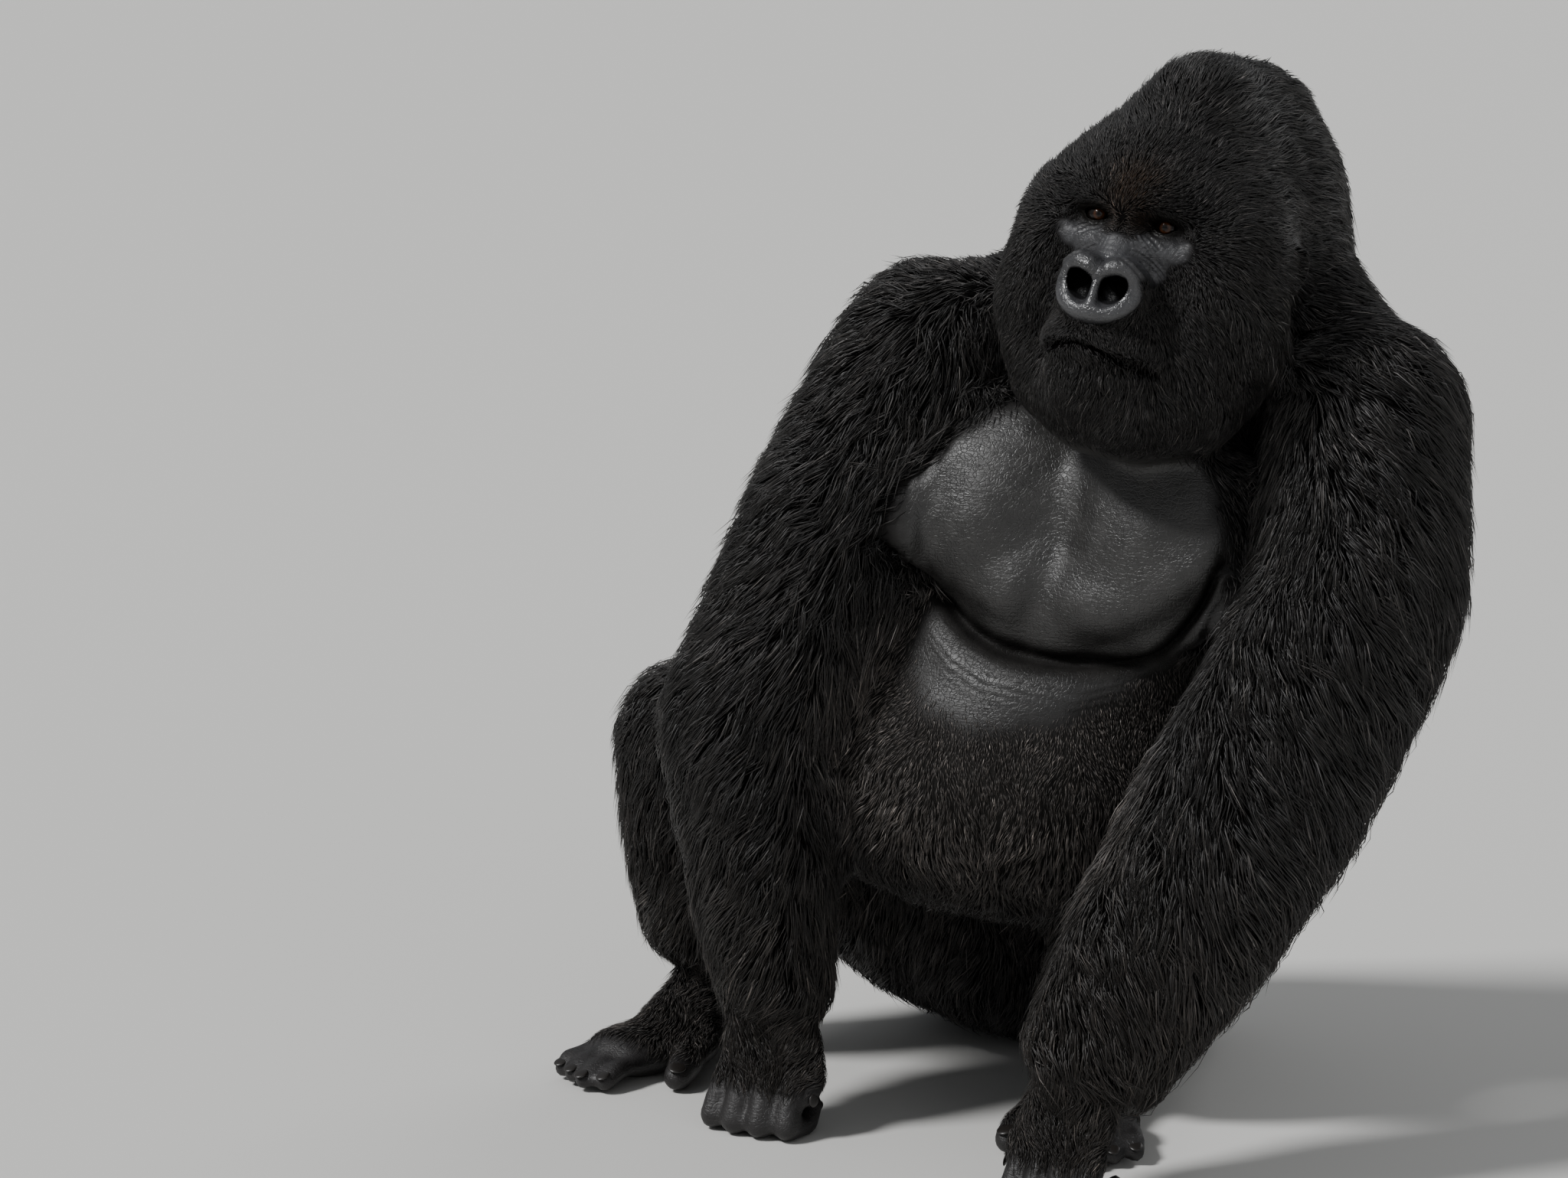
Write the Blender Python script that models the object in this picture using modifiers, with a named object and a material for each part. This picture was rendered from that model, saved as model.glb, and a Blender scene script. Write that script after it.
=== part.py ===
"""Adult male gorilla, seated with both arms planted in front, as a still life-size model.

Metres, +Z up. The animal faces -Y, so +X is its own left. The origin is on the floor, under the
middle of its bounding box. The body is modelled whole from named muscle and coat masses, melted
into one skin, and then parted with thin cuts into the pieces that a person would name.
"""

import math

import bmesh
import bpy
import numpy as np
from mathutils import Euler, Matrix, Vector

# Driving dimensions ------------------------------------------------------------------------------

VOXEL = 0.0065  # grid that melts the masses into one skin
PARTING_GAP = 0.0006  # cut between two pieces
SHEATH_VOXEL, SHEATH_MARGIN, SHEATH_TRIANGLES = 0.012, 0.013, 160
WHOLE_TRIANGLES = 3700  # the whole skin before it is parted
EAR_TRIANGLES = 150
DETAIL_FAVOUR = 0.12  # how far the face, hands and feet are spared when it is thinned
EYE_RADIUS = 0.0135
SOCKET_PLAY = 0.0006

# Joint centres, before the whole is moved over the origin.
PELVIS = Vector((-0.205, 0.115, 0.145))
HIP = {"r": Vector((-0.315, 0.10, 0.15)), "l": Vector((-0.10, 0.10, 0.15))}
KNEE = {"r": Vector((-0.502, -0.13, 0.36)), "l": Vector((0.065, -0.13, 0.28))}
ANKLE = {"r": Vector((-0.515, -0.08, 0.085)), "l": Vector((-0.06, -0.14, 0.085))}
FOOT_TURN = {"r": math.radians(-12), "l": math.radians(25)}
SHOULDER = {"r": Vector((-0.25, -0.10, 0.781)), "l": Vector((0.235, -0.10, 0.745))}
ELBOW = {"r": Vector((-0.370, -0.29, 0.42)), "l": Vector((0.175, -0.30, 0.37))}
WRIST = {"r": Vector((-0.325, -0.31, 0.122)), "l": Vector((0.065, -0.445, 0.122))}
HAND_TURN = {"r": math.radians(-8), "l": math.radians(-14)}
ARM_BOW = {"r": 0.0, "l": 0.052}
FOREARM_SPREAD = {"r": 0.0, "l": 0.030}

# The head has its own frame: its origin is midway between the eyes, +X to the animal's left,
# -Y out of the face.
EYE_MIDDLE = Vector((0.043, -0.275, 0.957))
HEAD_PITCH, HEAD_ROLL, HEAD_YAW = math.radians(-12), math.radians(7), math.radians(-2)
EYE_SPREAD, EYE_DEPTH = 0.0365, 0.006

SIDES = {"l": 1, "r": -1}

# Finishes: linear colour and roughness.
COAT = ((0.020, 0.021, 0.024), 0.75)
BARE_SKIN = ((0.028, 0.026, 0.026), 0.5)
EYE = ((0.060, 0.022, 0.010), 0.15)


# Shape tools -------------------------------------------------------------------------------------


def head_matrix():
    """The head's frame in the body's."""
    turn = Euler((HEAD_PITCH, HEAD_ROLL, HEAD_YAW), "XYZ").to_matrix().to_4x4()
    return Matrix.Translation(EYE_MIDDLE) @ turn


def ball(bm, centre, radii, turn=(0, 0, 0), frame=Matrix()):
    """An ellipsoid of muscle or coat. turn is in degrees, about its own axes."""
    spin = Euler([math.radians(a) for a in turn]).to_matrix().to_4x4()
    matrix = frame @ Matrix.Translation(centre) @ spin @ Matrix.Diagonal((*radii, 1))
    bmesh.ops.create_uvsphere(bm, u_segments=28, v_segments=18, radius=1, matrix=matrix)


def pair(bm, centre, radii, turn=(0, 0, 0), frame=Matrix()):
    """The same ellipsoid on both sides of the frame's middle plane."""
    x, y, z = centre
    a, b, c = turn
    ball(bm, (x, y, z), radii, turn, frame)
    ball(bm, (-x, y, z), radii, (a, -b, -c), frame)


def hull(bm, blobs, frame=Matrix()):
    """The tight skin round some spheres or ellipsoids, each (centre, radius or radii)."""
    piece = bmesh.new()
    for centre, radii in blobs:
        scale = (radii,) * 3 if isinstance(radii, float) else radii
        place = frame @ Matrix.Translation(centre) @ Matrix.Diagonal((*scale, 1))
        bmesh.ops.create_icosphere(piece, subdivisions=3, radius=1, matrix=place)
    bmesh.ops.delete(piece, geom=list(piece.edges), context="EDGES_FACES")
    made = bmesh.ops.convex_hull(piece, input=list(piece.verts))
    loose = [v for v in made["geom_interior"] if isinstance(v, bmesh.types.BMVert)]
    bmesh.ops.delete(piece, geom=loose, context="VERTS")
    mesh = bpy.data.meshes.new("hull")
    piece.to_mesh(mesh)
    piece.free()
    bm.from_mesh(mesh)
    bpy.data.meshes.remove(mesh)


def limb(bm, stations, frame=Matrix()):
    """Hulls between each station and the next."""
    for start, end in zip(stations, stations[1:]):
        hull(bm, (start, end), frame)


def between(start, end, share):
    return start.lerp(end, share)


def object_from(bm, name, collection):
    mesh = bpy.data.meshes.new(name)
    bmesh.ops.recalc_face_normals(bm, faces=list(bm.faces))
    bm.to_mesh(mesh)
    bm.free()
    made = bpy.data.objects.new(name, mesh)
    collection.objects.link(made)
    return made


def settle(obj):
    """Applies the object's modifiers."""
    bpy.context.view_layer.update()
    graph = bpy.context.evaluated_depsgraph_get()
    mesh = bpy.data.meshes.new_from_object(obj.evaluated_get(graph))
    old = obj.data
    obj.modifiers.clear()
    obj.data = mesh
    bpy.data.meshes.remove(old)
    return obj


def melted(bm, name, collection, voxel):
    """One closed skin round overlapping masses."""
    made = object_from(bm, name, collection)
    remesh = made.modifiers.new("Melt", "REMESH")
    remesh.mode = "VOXEL"
    remesh.voxel_size = voxel
    return settle(made)


def boolean(obj, other, operation):
    cut = obj.modifiers.new("Cut", "BOOLEAN")
    cut.operation = operation
    cut.object = other
    cut.solver = "MANIFOLD"
    return settle(obj)


def copy_of(obj, name, collection):
    made = bpy.data.objects.new(name, obj.data.copy())
    collection.objects.link(made)
    return made


# Masses of the trunk -----------------------------------------------------------------------------


def add_trunk(bm):
    """Rump, loins, rib cage and shoulders in one barrel, with the paunch in front of it."""
    barrel = (
        (PELVIS, (0.225, 0.180, 0.150)),
        (Vector((-0.170, 0.085, 0.330)), (0.230, 0.195, 0.140)),
        (Vector((-0.065, 0.005, 0.590)), (0.240, 0.200, 0.190)),
        (Vector((0.000, 0.030, 0.745)), (0.225, 0.140, 0.115)),
    )
    limb(bm, barrel)
    for across in (-0.098, 0.098):
        ball(bm, PELVIS + Vector((across, 0.055, -0.040)), (0.118, 0.125, 0.112))
    paunch = (
        (Vector((-0.150, -0.085, 0.350)), (0.250, 0.235, 0.165)),
        (Vector((-0.115, -0.045, 0.470)), (0.235, 0.215, 0.130)),
    )
    hull(bm, paunch)
    add_chest(bm)


def add_chest(bm):
    """Two slabs of chest muscle with a cleft between, and the flank muscle under each arm."""
    ball(bm, (-0.140, -0.140, 0.640), (0.125, 0.095, 0.118), (0, -24, 12))
    ball(bm, (0.040, -0.155, 0.615), (0.135, 0.095, 0.122), (0, 30, -8))
    ball(bm, (-0.085, -0.170, 0.570), (0.090, 0.072, 0.058), (0, -22, 8))
    ball(bm, (0.015, -0.178, 0.560), (0.105, 0.074, 0.062), (0, 14, -4))
    flanks = {"r": Vector((-0.225, 0.020, 0.560)), "l": Vector((0.090, 0.020, 0.545))}
    loins = {"r": Vector((-0.290, 0.055, 0.350)), "l": Vector((-0.035, 0.055, 0.330))}
    for side in SIDES:
        blade = SHOULDER[side].lerp(Vector((0, 0.20, 0.69)), 0.42)
        back = ((loins[side], 0.105), (flanks[side], (0.098, 0.150, 0.140)), (blade, (0.105, 0.120, 0.120)))
        limb(bm, back)
        hull(bm, ((blade, (0.105, 0.120, 0.120)), (SHOULDER[side], 0.088)))


def add_neck(bm):
    """The thick neck, the slope from the crest to the back, and the muscle out to each shoulder."""
    base = Vector((0.010, 0.010, 0.790))
    nape = Vector((0.072, -0.065, 0.955))
    hull(bm, ((base, (0.150, 0.150, 0.110)), (nape, (0.120, 0.130, 0.110))))
    for side in SIDES:
        inner = SHOULDER[side].lerp(base, 0.22) + Vector((0, 0.03, 0.02))
        hull(bm, ((inner, 0.082), (nape + Vector((0, 0.02, -0.06)), 0.095)))


# Masses of the head ------------------------------------------------------------------------------


def head_masses():
    """The big forms of the head: cranium, nape, temples, cheeks, jaws and beard."""
    forms = [
        ((0, 0.120, 0.005), (0.136, 0.150, 0.125)),
        ((0.008, 0.175, 0.000), (0.126, 0.130, 0.120)),
        ((0, 0.052, -0.176), (0.088, 0.085, 0.066)),
    ]
    for sign in SIDES.values():
        forms.append(((0.086 * sign, 0.062, -0.012), (0.060, 0.075, 0.075)))
        forms.append(((0.092 * sign, 0.072, -0.080), (0.062, 0.088, 0.100)))
        forms.append(((0.064 * sign, 0.080, -0.150), (0.068, 0.082, 0.070)))
    return forms


def crest_stations():
    return (
        (Vector((0.004, 0.108, 0.120)), (0.064, 0.068, 0.066)),
        (Vector((0.016, 0.222, 0.118)), (0.080, 0.078, 0.072)),
        (Vector((0, 0.135, 0.012)), (0.130, 0.140, 0.080)),
    )


def add_head(bm):
    """High crest, brow bar, broad cheeks, muzzle and beard, coat included."""
    head = head_matrix()
    for centre, radii in head_masses():
        ball(bm, centre, radii, frame=head)
    hull(bm, crest_stations(), head)
    ball(bm, (0, 0.050, 0.055), (0.084, 0.058, 0.058), frame=head)
    brow = ((-0.088, 0.042, 0.014), (-0.048, 0.006, 0.030), (0.048, 0.006, 0.030), (0.088, 0.042, 0.014))
    limb(bm, [(Vector(p), 0.026) for p in brow], head)
    add_muzzle(bm, head)


def add_muzzle(bm, head):
    """Cheek pads, upper lip, nose with its two wings, bridge and chin."""
    pair(bm, (0.060, 0.036, -0.044), (0.042, 0.044, 0.034), frame=head)
    ball(bm, (0, 0.012, -0.100), (0.070, 0.078, 0.062), frame=head)
    ball(bm, (0, -0.018, -0.128), (0.057, 0.044, 0.034), frame=head)
    ball(bm, (0, -0.022, -0.070), (0.045, 0.030, 0.036), frame=head)
    pair(bm, (0.024, -0.041, -0.073), (0.021, 0.017, 0.024), frame=head)
    limb(bm, ((Vector((0, 0.008, 0.004)), 0.018), (Vector((0, -0.022, -0.044)), 0.020)), head)
    ball(bm, (0, 0.002, -0.166), (0.062, 0.056, 0.042), frame=head)


def add_head_cutter(bm):
    """One plain egg round the whole head."""
    face = (Vector((0, -0.010, -0.095)), (0.080, 0.055, 0.095))
    brow = (Vector((0, 0.030, 0.020)), (0.100, 0.050, 0.040))
    egg = [*head_masses(), *crest_stations(), face, brow]
    hull(bm, [(Vector(centre), radii) for centre, radii in egg], head_matrix())


# Masses of the limbs -----------------------------------------------------------------------------


def arm_stations(side):
    """Centres and radii down the arm, with the long hair that widens it below the elbow."""
    shoulder, elbow, wrist = SHOULDER[side], ELBOW[side], WRIST[side]
    out = Vector((SIDES[side], 0, 0))
    bow, spread = ARM_BOW[side], FOREARM_SPREAD[side]
    return (
        (shoulder, (0.104, 0.122, 0.108)),
        (between(shoulder, elbow, 0.45) + out * bow, (0.110, 0.135, 0.120)),
        (elbow, (0.096 + spread, 0.110, 0.100)),
        (between(elbow, wrist, 0.45), (0.082 + spread, 0.098, 0.092)),
        (wrist, (0.064 + spread / 2, 0.066, 0.060)),
    )


def add_arm(bm, side):
    """Upper arm, deep from front to back, forearm with its fringe, and the knuckled hand."""
    limb(bm, arm_stations(side))
    elbow, wrist = ELBOW[side], WRIST[side]
    fringe = Vector((0.020 * SIDES[side], 0.050, -0.010))
    hull(bm, ((elbow + fringe * 0.6, 0.088), (between(elbow, wrist, 0.55) + fringe, 0.070)))
    hull(bm, ((between(elbow, wrist, 0.55) + fringe, 0.070), (wrist + fringe * 0.3, 0.050)))
    add_hand(bm, side)


def add_arm_cutter(bm, side):
    """The arm with a mitten for a hand."""
    limb(bm, arm_stations(side))
    elbow, wrist = ELBOW[side], WRIST[side]
    behind = between(elbow, wrist, 0.6) + Vector((0, 0.05, 0))
    hull(bm, ((elbow + Vector((0, 0.03, 0)), 0.095), (behind, 0.075)))
    hull(bm, ((wrist, 0.075), (hand_frame(side) @ Vector((0, -0.030, -0.085)), 0.085)))


def hand_frame(side):
    """Origin at the wrist, -Y forward, fingers spread along X."""
    return Matrix.Translation(WRIST[side]) @ Matrix.Rotation(HAND_TURN[side], 4, "Z")


def add_hand(bm, side):
    """Back of the hand forward, weight on the middle bones of four curled fingers."""
    frame, sign = hand_frame(side), SIDES[side]
    ball(bm, (0, -0.018, -0.034), (0.058, 0.034, 0.052), (-28, 0, 0), frame)
    for finger in range(4):
        across = (finger - 1.5) * 0.0305
        bent = 0.006 * abs(finger - 1.5)
        knuckle = Vector((across * 0.86, -0.040 + bent, -0.062))
        middle = Vector((across, -0.062 + bent, -0.110))
        far = Vector((across, -0.018, -0.113))
        tip = Vector((across * 0.9, 0.004, -0.094))
        stations = ((knuckle, 0.0165), (middle, 0.0160), (far, 0.0150), (tip, 0.0130))
        limb(bm, stations, frame)
    inner = -sign
    limb(
        bm,
        (
            (Vector((0.044 * inner, -0.004, -0.020)), 0.018),
            (Vector((0.064 * inner, -0.018, -0.056)), 0.0135),
            (Vector((0.060 * inner, -0.030, -0.080)), 0.0115),
        ),
        frame,
    )


def leg_stations(side):
    hip, knee, ankle = HIP[side], KNEE[side], ANKLE[side]
    return (
        (hip, 0.130),
        (between(hip, knee, 0.55), 0.116),
        (knee, 0.097),
        (between(knee, ankle, 0.45), 0.092),
        (ankle, 0.060),
    )


def add_leg(bm, side):
    """Thick thigh, short shin and the flat foot."""
    limb(bm, leg_stations(side))
    add_foot(bm, side)


def add_leg_cutter(bm, side):
    """The leg, slimmer at the hip so that the two keep apart, with a sock for a foot."""
    limb(bm, ((HIP[side], (0.080, 0.130, 0.130)), *leg_stations(side)[1:]))
    frame = foot_frame(side)
    hull(bm, ((frame @ Vector((0, 0.03, 0.05)), 0.070), (frame @ Vector((0, -0.15, 0.02)), 0.090)))
    hull(bm, ((frame @ Vector((0, -0.10, 0.02)), 0.095), (frame @ Vector((0, -0.19, 0.0)), 0.075)))


def foot_frame(side):
    """Origin on the floor under the ankle, -Y towards the toes."""
    ankle = ANKLE[side]
    floor = Matrix.Translation((ankle.x, ankle.y, 0))
    return floor @ Matrix.Rotation(FOOT_TURN[side], 4, "Z")


def add_foot(bm, side):
    """Heel, sole, four toes and a big toe that stands off like a thumb."""
    frame, sign = foot_frame(side), SIDES[side]
    ball(bm, (0, 0.032, 0.036), (0.038, 0.045, 0.042), frame=frame)
    hull(bm, ((Vector((0, 0, 0.055)), 0.046), (Vector((0, -0.080, 0.034)), 0.038)), frame)
    ball(bm, (0.008 * sign, -0.115, 0.024), (0.054, 0.060, 0.030), frame=frame)
    for toe in range(4):
        across = (-0.022 + toe * 0.0225) * sign
        reach = -0.215 + 0.012 * abs(toe - 0.8)
        stations = (
            (Vector((across, -0.150, 0.021)), 0.0165),
            (Vector((across, (reach - 0.150) / 2, 0.024)), 0.0150),
            (Vector((across, reach, 0.011)), 0.0140),
        )
        limb(bm, stations, frame)
    stations = (
        (Vector((-0.034 * sign, -0.060, 0.028)), 0.026),
        (Vector((-0.066 * sign, -0.115, 0.026)), 0.0195),
        (Vector((-0.078 * sign, -0.155, 0.014)), 0.0175),
    )
    limb(bm, stations, frame)


# Carving the melted skin -------------------------------------------------------------------------


def carve(mesh, frame, dents):
    """Presses soft dents into the skin, or swellings where the depth is negative.

    Each dent is (centre, radii, depth) in the frame.
    """
    points = np.empty(len(mesh.vertices) * 3)
    mesh.vertices.foreach_get("co", points)
    points = points.reshape(-1, 3)
    normals = np.array([v.normal for v in mesh.vertices])
    back = np.array(frame.inverted())
    local = points @ back[:3, :3].T + back[:3, 3]
    for centre, radii, depth in dents:
        far = (((local - np.array(centre)) / np.array(radii)) ** 2).sum(axis=1)
        points -= normals * (depth * np.exp(-far))[:, None]
    mesh.vertices.foreach_set("co", points.ravel())
    mesh.update()


def carve_face(mesh):
    """Eye hollows, nostrils, the folds beside the nose and the line of the mouth."""
    dents = []
    for sign in (1, -1):
        dents.append(((EYE_SPREAD * sign, -0.006, -0.004), (0.024, 0.030, 0.014), 0.016))
        dents.append(((0.0165 * sign, -0.060, -0.073), (0.0095, 0.020, 0.0085), 0.013))
        dents.append(((0.053 * sign, -0.018, -0.064), (0.012, 0.030, 0.030), 0.006))
    for step in range(-6, 7):
        share = step / 6
        place = (0.064 * share, -0.062 + 0.050 * share**2, -0.124 - 0.024 * share**2)
        dents.append((place, (0.011, 0.030, 0.0045), 0.0042))
    carve(mesh, head_matrix(), dents)


def carve_chest(mesh):
    """The fold under the chest muscles and the cleft between them."""
    dents = []
    for step in range(-7, 8):
        share = step / 7
        place = (-0.055 + 0.175 * share, -0.240, 0.505 + 0.080 * abs(share) ** 1.6 - 0.006 * share)
        dents.append((place, (0.026, 0.120, 0.014), 0.009))
    for step in range(5):
        place = (-0.078 + 0.012 * step, -0.245, 0.525 + 0.035 * step)
        dents.append((place, (0.014, 0.080, 0.030), 0.005))
    carve(mesh, Matrix(), dents)


# Whole body --------------------------------------------------------------------------------------


def weigh(obj, name, weight_of):
    """A vertex group from a function of place, in steps of a twentieth."""
    group = obj.vertex_groups.new(name=name)
    steps = {}
    for vertex in obj.data.vertices:
        steps.setdefault(round(weight_of(vertex.co) * 20), []).append(vertex.index)
    for step, indices in steps.items():
        group.add(indices, step / 20, "REPLACE")


def detail_at(point):
    """1 where fine form matters: the face, the hands and the feet."""
    face = head_matrix() @ Vector((0, 0.0, -0.06))
    found = 1.6 * (1 - (point - face).length / 0.15)
    for side in SIDES:
        hand = WRIST[side] + Vector((0, -0.03, -0.08))
        toes = foot_frame(side) @ Vector((0, -0.14, 0))
        for place in (hand, toes):
            found = max(found, 1 - (point - place).length / 0.12)
    chest = Vector((-0.06, -0.24, 0.52))
    found = max(found, 0.7 * (1 - (point - chest).length / 0.20))
    return min(1.0, max(0.0, found))


def add_masses():
    bm = bmesh.new()
    add_trunk(bm)
    add_neck(bm)
    add_head(bm)
    for side in SIDES:
        add_arm(bm, side)
        add_leg(bm, side)
    return bm


def cut_at_floor(obj):
    """A flat at floor level under the rump, the hands and the feet."""
    bm = bmesh.new()
    bm.from_mesh(obj.data)
    geometry = list(bm.verts) + list(bm.edges) + list(bm.faces)
    found = bmesh.ops.bisect_plane(
        bm, geom=geometry, dist=1e-5, plane_co=(0, 0, 0), plane_no=(0, 0, -1), clear_outer=True
    )
    edges = [e for e in found["geom_cut"] if isinstance(e, bmesh.types.BMEdge)]
    made = bmesh.ops.holes_fill(bm, edges=edges)
    bmesh.ops.triangulate(bm, faces=made["faces"])
    bm.to_mesh(obj.data)
    bm.free()


def whole_body(workshop):
    """The skin of the whole animal with its coat, as one closed mesh."""
    body = melted(add_masses(), "body", workshop, VOXEL)
    weigh(body, "soft", lambda p: 1 - 0.85 * detail_at(p))
    smooth = body.modifiers.new("Soften", "SMOOTH")
    smooth.factor = 0.6
    smooth.iterations = 60
    smooth.vertex_group = "soft"
    settle(body)
    carve_face(body.data)
    carve_chest(body.data)
    weigh(body, "plain", lambda p: 1 - 0.8 * detail_at(p))
    thin = body.modifiers.new("Thin", "DECIMATE")
    thin.ratio = WHOLE_TRIANGLES / (2 * len(body.data.polygons))
    thin.vertex_group = "plain"
    thin.vertex_group_factor = DETAIL_FAVOUR
    settle(body)
    cut_at_floor(body)
    return body


# Parting the body --------------------------------------------------------------------------------


def largest_body(obj):
    """Drops slivers that a cut leaves loose."""
    bm = bmesh.new()
    bm.from_mesh(obj.data)
    left, islands = set(bm.verts), []
    while left:
        seed = left.pop()
        island, edge = {seed}, [seed]
        while edge:
            vertex = edge.pop()
            near = {e.other_vert(vertex) for e in vertex.link_edges} - island
            island |= near
            edge.extend(near)
        left -= island
        islands.append(island)
    keep = max(islands, key=len)
    bmesh.ops.delete(bm, geom=[v for v in bm.verts if v not in keep], context="VERTS")
    bm.to_mesh(obj.data)
    bm.free()
    return obj


def sheath(fill, name, workshop):
    """The smooth outside of some masses, a little larger than they are."""
    bm = bmesh.new()
    fill(bm)
    made = melted(bm, name, workshop, SHEATH_VOXEL)
    swell = made.modifiers.new("Swell", "DISPLACE")
    swell.strength = SHEATH_MARGIN
    swell.mid_level = 0
    thin = made.modifiers.new("Thin", "DECIMATE")
    thin.ratio = SHEATH_TRIANGLES / (2 * len(made.data.polygons))
    return settle(made)


def grown(obj, by, name, workshop):
    made = copy_of(obj, name, workshop)
    swell = made.modifiers.new("Swell", "DISPLACE")
    swell.strength = by
    swell.mid_level = 0
    return settle(made)


def part_off(rest, cutter, name, pieces, workshop):
    """Moves what lies inside the cutter out of rest and into a piece of its own."""
    piece = copy_of(rest, name, pieces)
    largest_body(boolean(piece, cutter, "INTERSECT"))
    wide = grown(cutter, PARTING_GAP, name + "_wide", workshop)
    largest_body(boolean(rest, wide, "DIFFERENCE"))
    return piece


def keep_half(obj, point, normal):
    """Keeps what lies along normal from the point, closed by a flat face."""
    bm = bmesh.new()
    bm.from_mesh(obj.data)
    geometry = list(bm.verts) + list(bm.edges) + list(bm.faces)
    found = bmesh.ops.bisect_plane(
        bm, geom=geometry, dist=1e-6, plane_co=point, plane_no=normal, clear_inner=True
    )
    edges = [e for e in found["geom_cut"] if isinstance(e, bmesh.types.BMEdge)]
    made = bmesh.ops.holes_fill(bm, edges=edges)
    bmesh.ops.triangulate(bm, faces=made["faces"])
    bm.to_mesh(obj.data)
    bm.free()
    return largest_body(obj)


def slice_off(obj, point, normal, name, pieces):
    """Parts obj at a plane: what lies along normal becomes a new piece, a thin gap away."""
    away = Vector(normal).normalized()
    other = copy_of(obj, name, pieces)
    keep_half(other, point + away * PARTING_GAP, away)
    keep_half(obj, point, -away)
    return other


def part_limb(rest, joints, names, fill, pieces, workshop):
    """Parts a limb off the body, then its middle and its end off the limb.

    joints are the limb's four centres from its root to its tip, names the three pieces.
    """
    cutter = sheath(fill, names[0] + "_sheath", workshop)
    upper = part_off(rest, cutter, names[0], pieces, workshop)
    steps = [(b - a).normalized() for a, b in zip(joints, joints[1:])]
    middle = slice_off(upper, joints[1], steps[0] + steps[1], names[1], pieces)
    slice_off(middle, joints[2], steps[1] + steps[2], names[2], pieces)


# Eyes and ears -----------------------------------------------------------------------------------


def eye_ball(side, radius, name, collection):
    place = head_matrix() @ Vector((EYE_SPREAD * SIDES[side], EYE_DEPTH, -0.003))
    bm = bmesh.new()
    spot = Matrix.Translation(place) @ Matrix.Rotation(math.radians(90), 4, "X")
    bmesh.ops.create_uvsphere(bm, u_segments=12, v_segments=8, radius=radius, matrix=spot)
    return object_from(bm, name, collection)


def add_eye(side, head, pieces, workshop):
    """An eyeball, its socket in the head and the opening between the lids."""
    eye_ball(side, EYE_RADIUS, "eye_" + side, pieces)
    socket = eye_ball(side, EYE_RADIUS + SOCKET_PLAY, "socket_" + side, workshop)
    bm = bmesh.new()
    ball(bm, (EYE_SPREAD * SIDES[side], -0.026, -0.003), (0.017, 0.034, 0.0095), frame=head_matrix())
    boolean(socket, object_from(bm, "lids_" + side, workshop), "UNION")
    boolean(head, socket, "DIFFERENCE")


def add_ear(side, head, pieces, workshop):
    """A small rounded ear with a hollow in front, standing in the fur behind the cheek."""
    sign = SIDES[side]
    bm = bmesh.new()
    frame = head_matrix()
    ball(bm, (0.132 * sign, 0.105, -0.020), (0.016, 0.022, 0.032), (0, 10 * sign, -25 * sign), frame)
    ear = melted(bm, "ear_" + side, pieces, 0.003)
    carve(ear.data, frame, [((0.146 * sign, 0.094, -0.018), (0.012, 0.010, 0.018), 0.006)])
    thin = ear.modifiers.new("Thin", "DECIMATE")
    thin.ratio = EAR_TRIANGLES / (2 * len(ear.data.polygons))
    settle(ear)
    largest_body(boolean(ear, grown(head, PARTING_GAP, "head_wide", workshop), "DIFFERENCE"))


# Finish and assembly -----------------------------------------------------------------------------

SKIN_NODES = ("hand", "foot")
EYE_NODES = ("eye",)


def finish(name, colour, roughness):
    made = bpy.data.materials.new(name)
    made.use_nodes = True
    shader = made.node_tree.nodes["Principled BSDF"]
    shader.inputs["Base Color"].default_value = (*colour, 1)
    shader.inputs["Roughness"].default_value = roughness
    shader.inputs["Metallic"].default_value = 0
    made.diffuse_color = (*colour, 1)
    return made


def dress(pieces):
    """Gives each piece its own material, named for it."""
    for piece in pieces.objects:
        kind = piece.name.split("_")[0]
        colour, roughness = COAT
        if kind in SKIN_NODES:
            colour, roughness = BARE_SKIN
        if kind in EYE_NODES:
            colour, roughness = EYE
        piece.data.materials.clear()
        piece.data.materials.append(finish(piece.name + "_finish", colour, roughness))
        piece.data.shade_smooth()
        piece.data.set_sharp_from_angle(angle=math.radians(50))


def stand_over_origin(pieces):
    """Moves the pieces so that the origin is on the floor under the middle of their box."""
    points = [v.co for piece in pieces.objects for v in piece.data.vertices]
    middle = [(min(p[axis] for p in points) + max(p[axis] for p in points)) / 2 for axis in (0, 1)]
    shift = Matrix.Translation((-middle[0], -middle[1], -min(p.z for p in points)))
    for piece in pieces.objects:
        piece.data.transform(shift)


def collection_of(name):
    made = bpy.data.collections.new(name)
    bpy.context.scene.collection.children.link(made)
    return made


def clear_scene():
    for obj in list(bpy.data.objects):
        bpy.data.objects.remove(obj, do_unlink=True)


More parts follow.
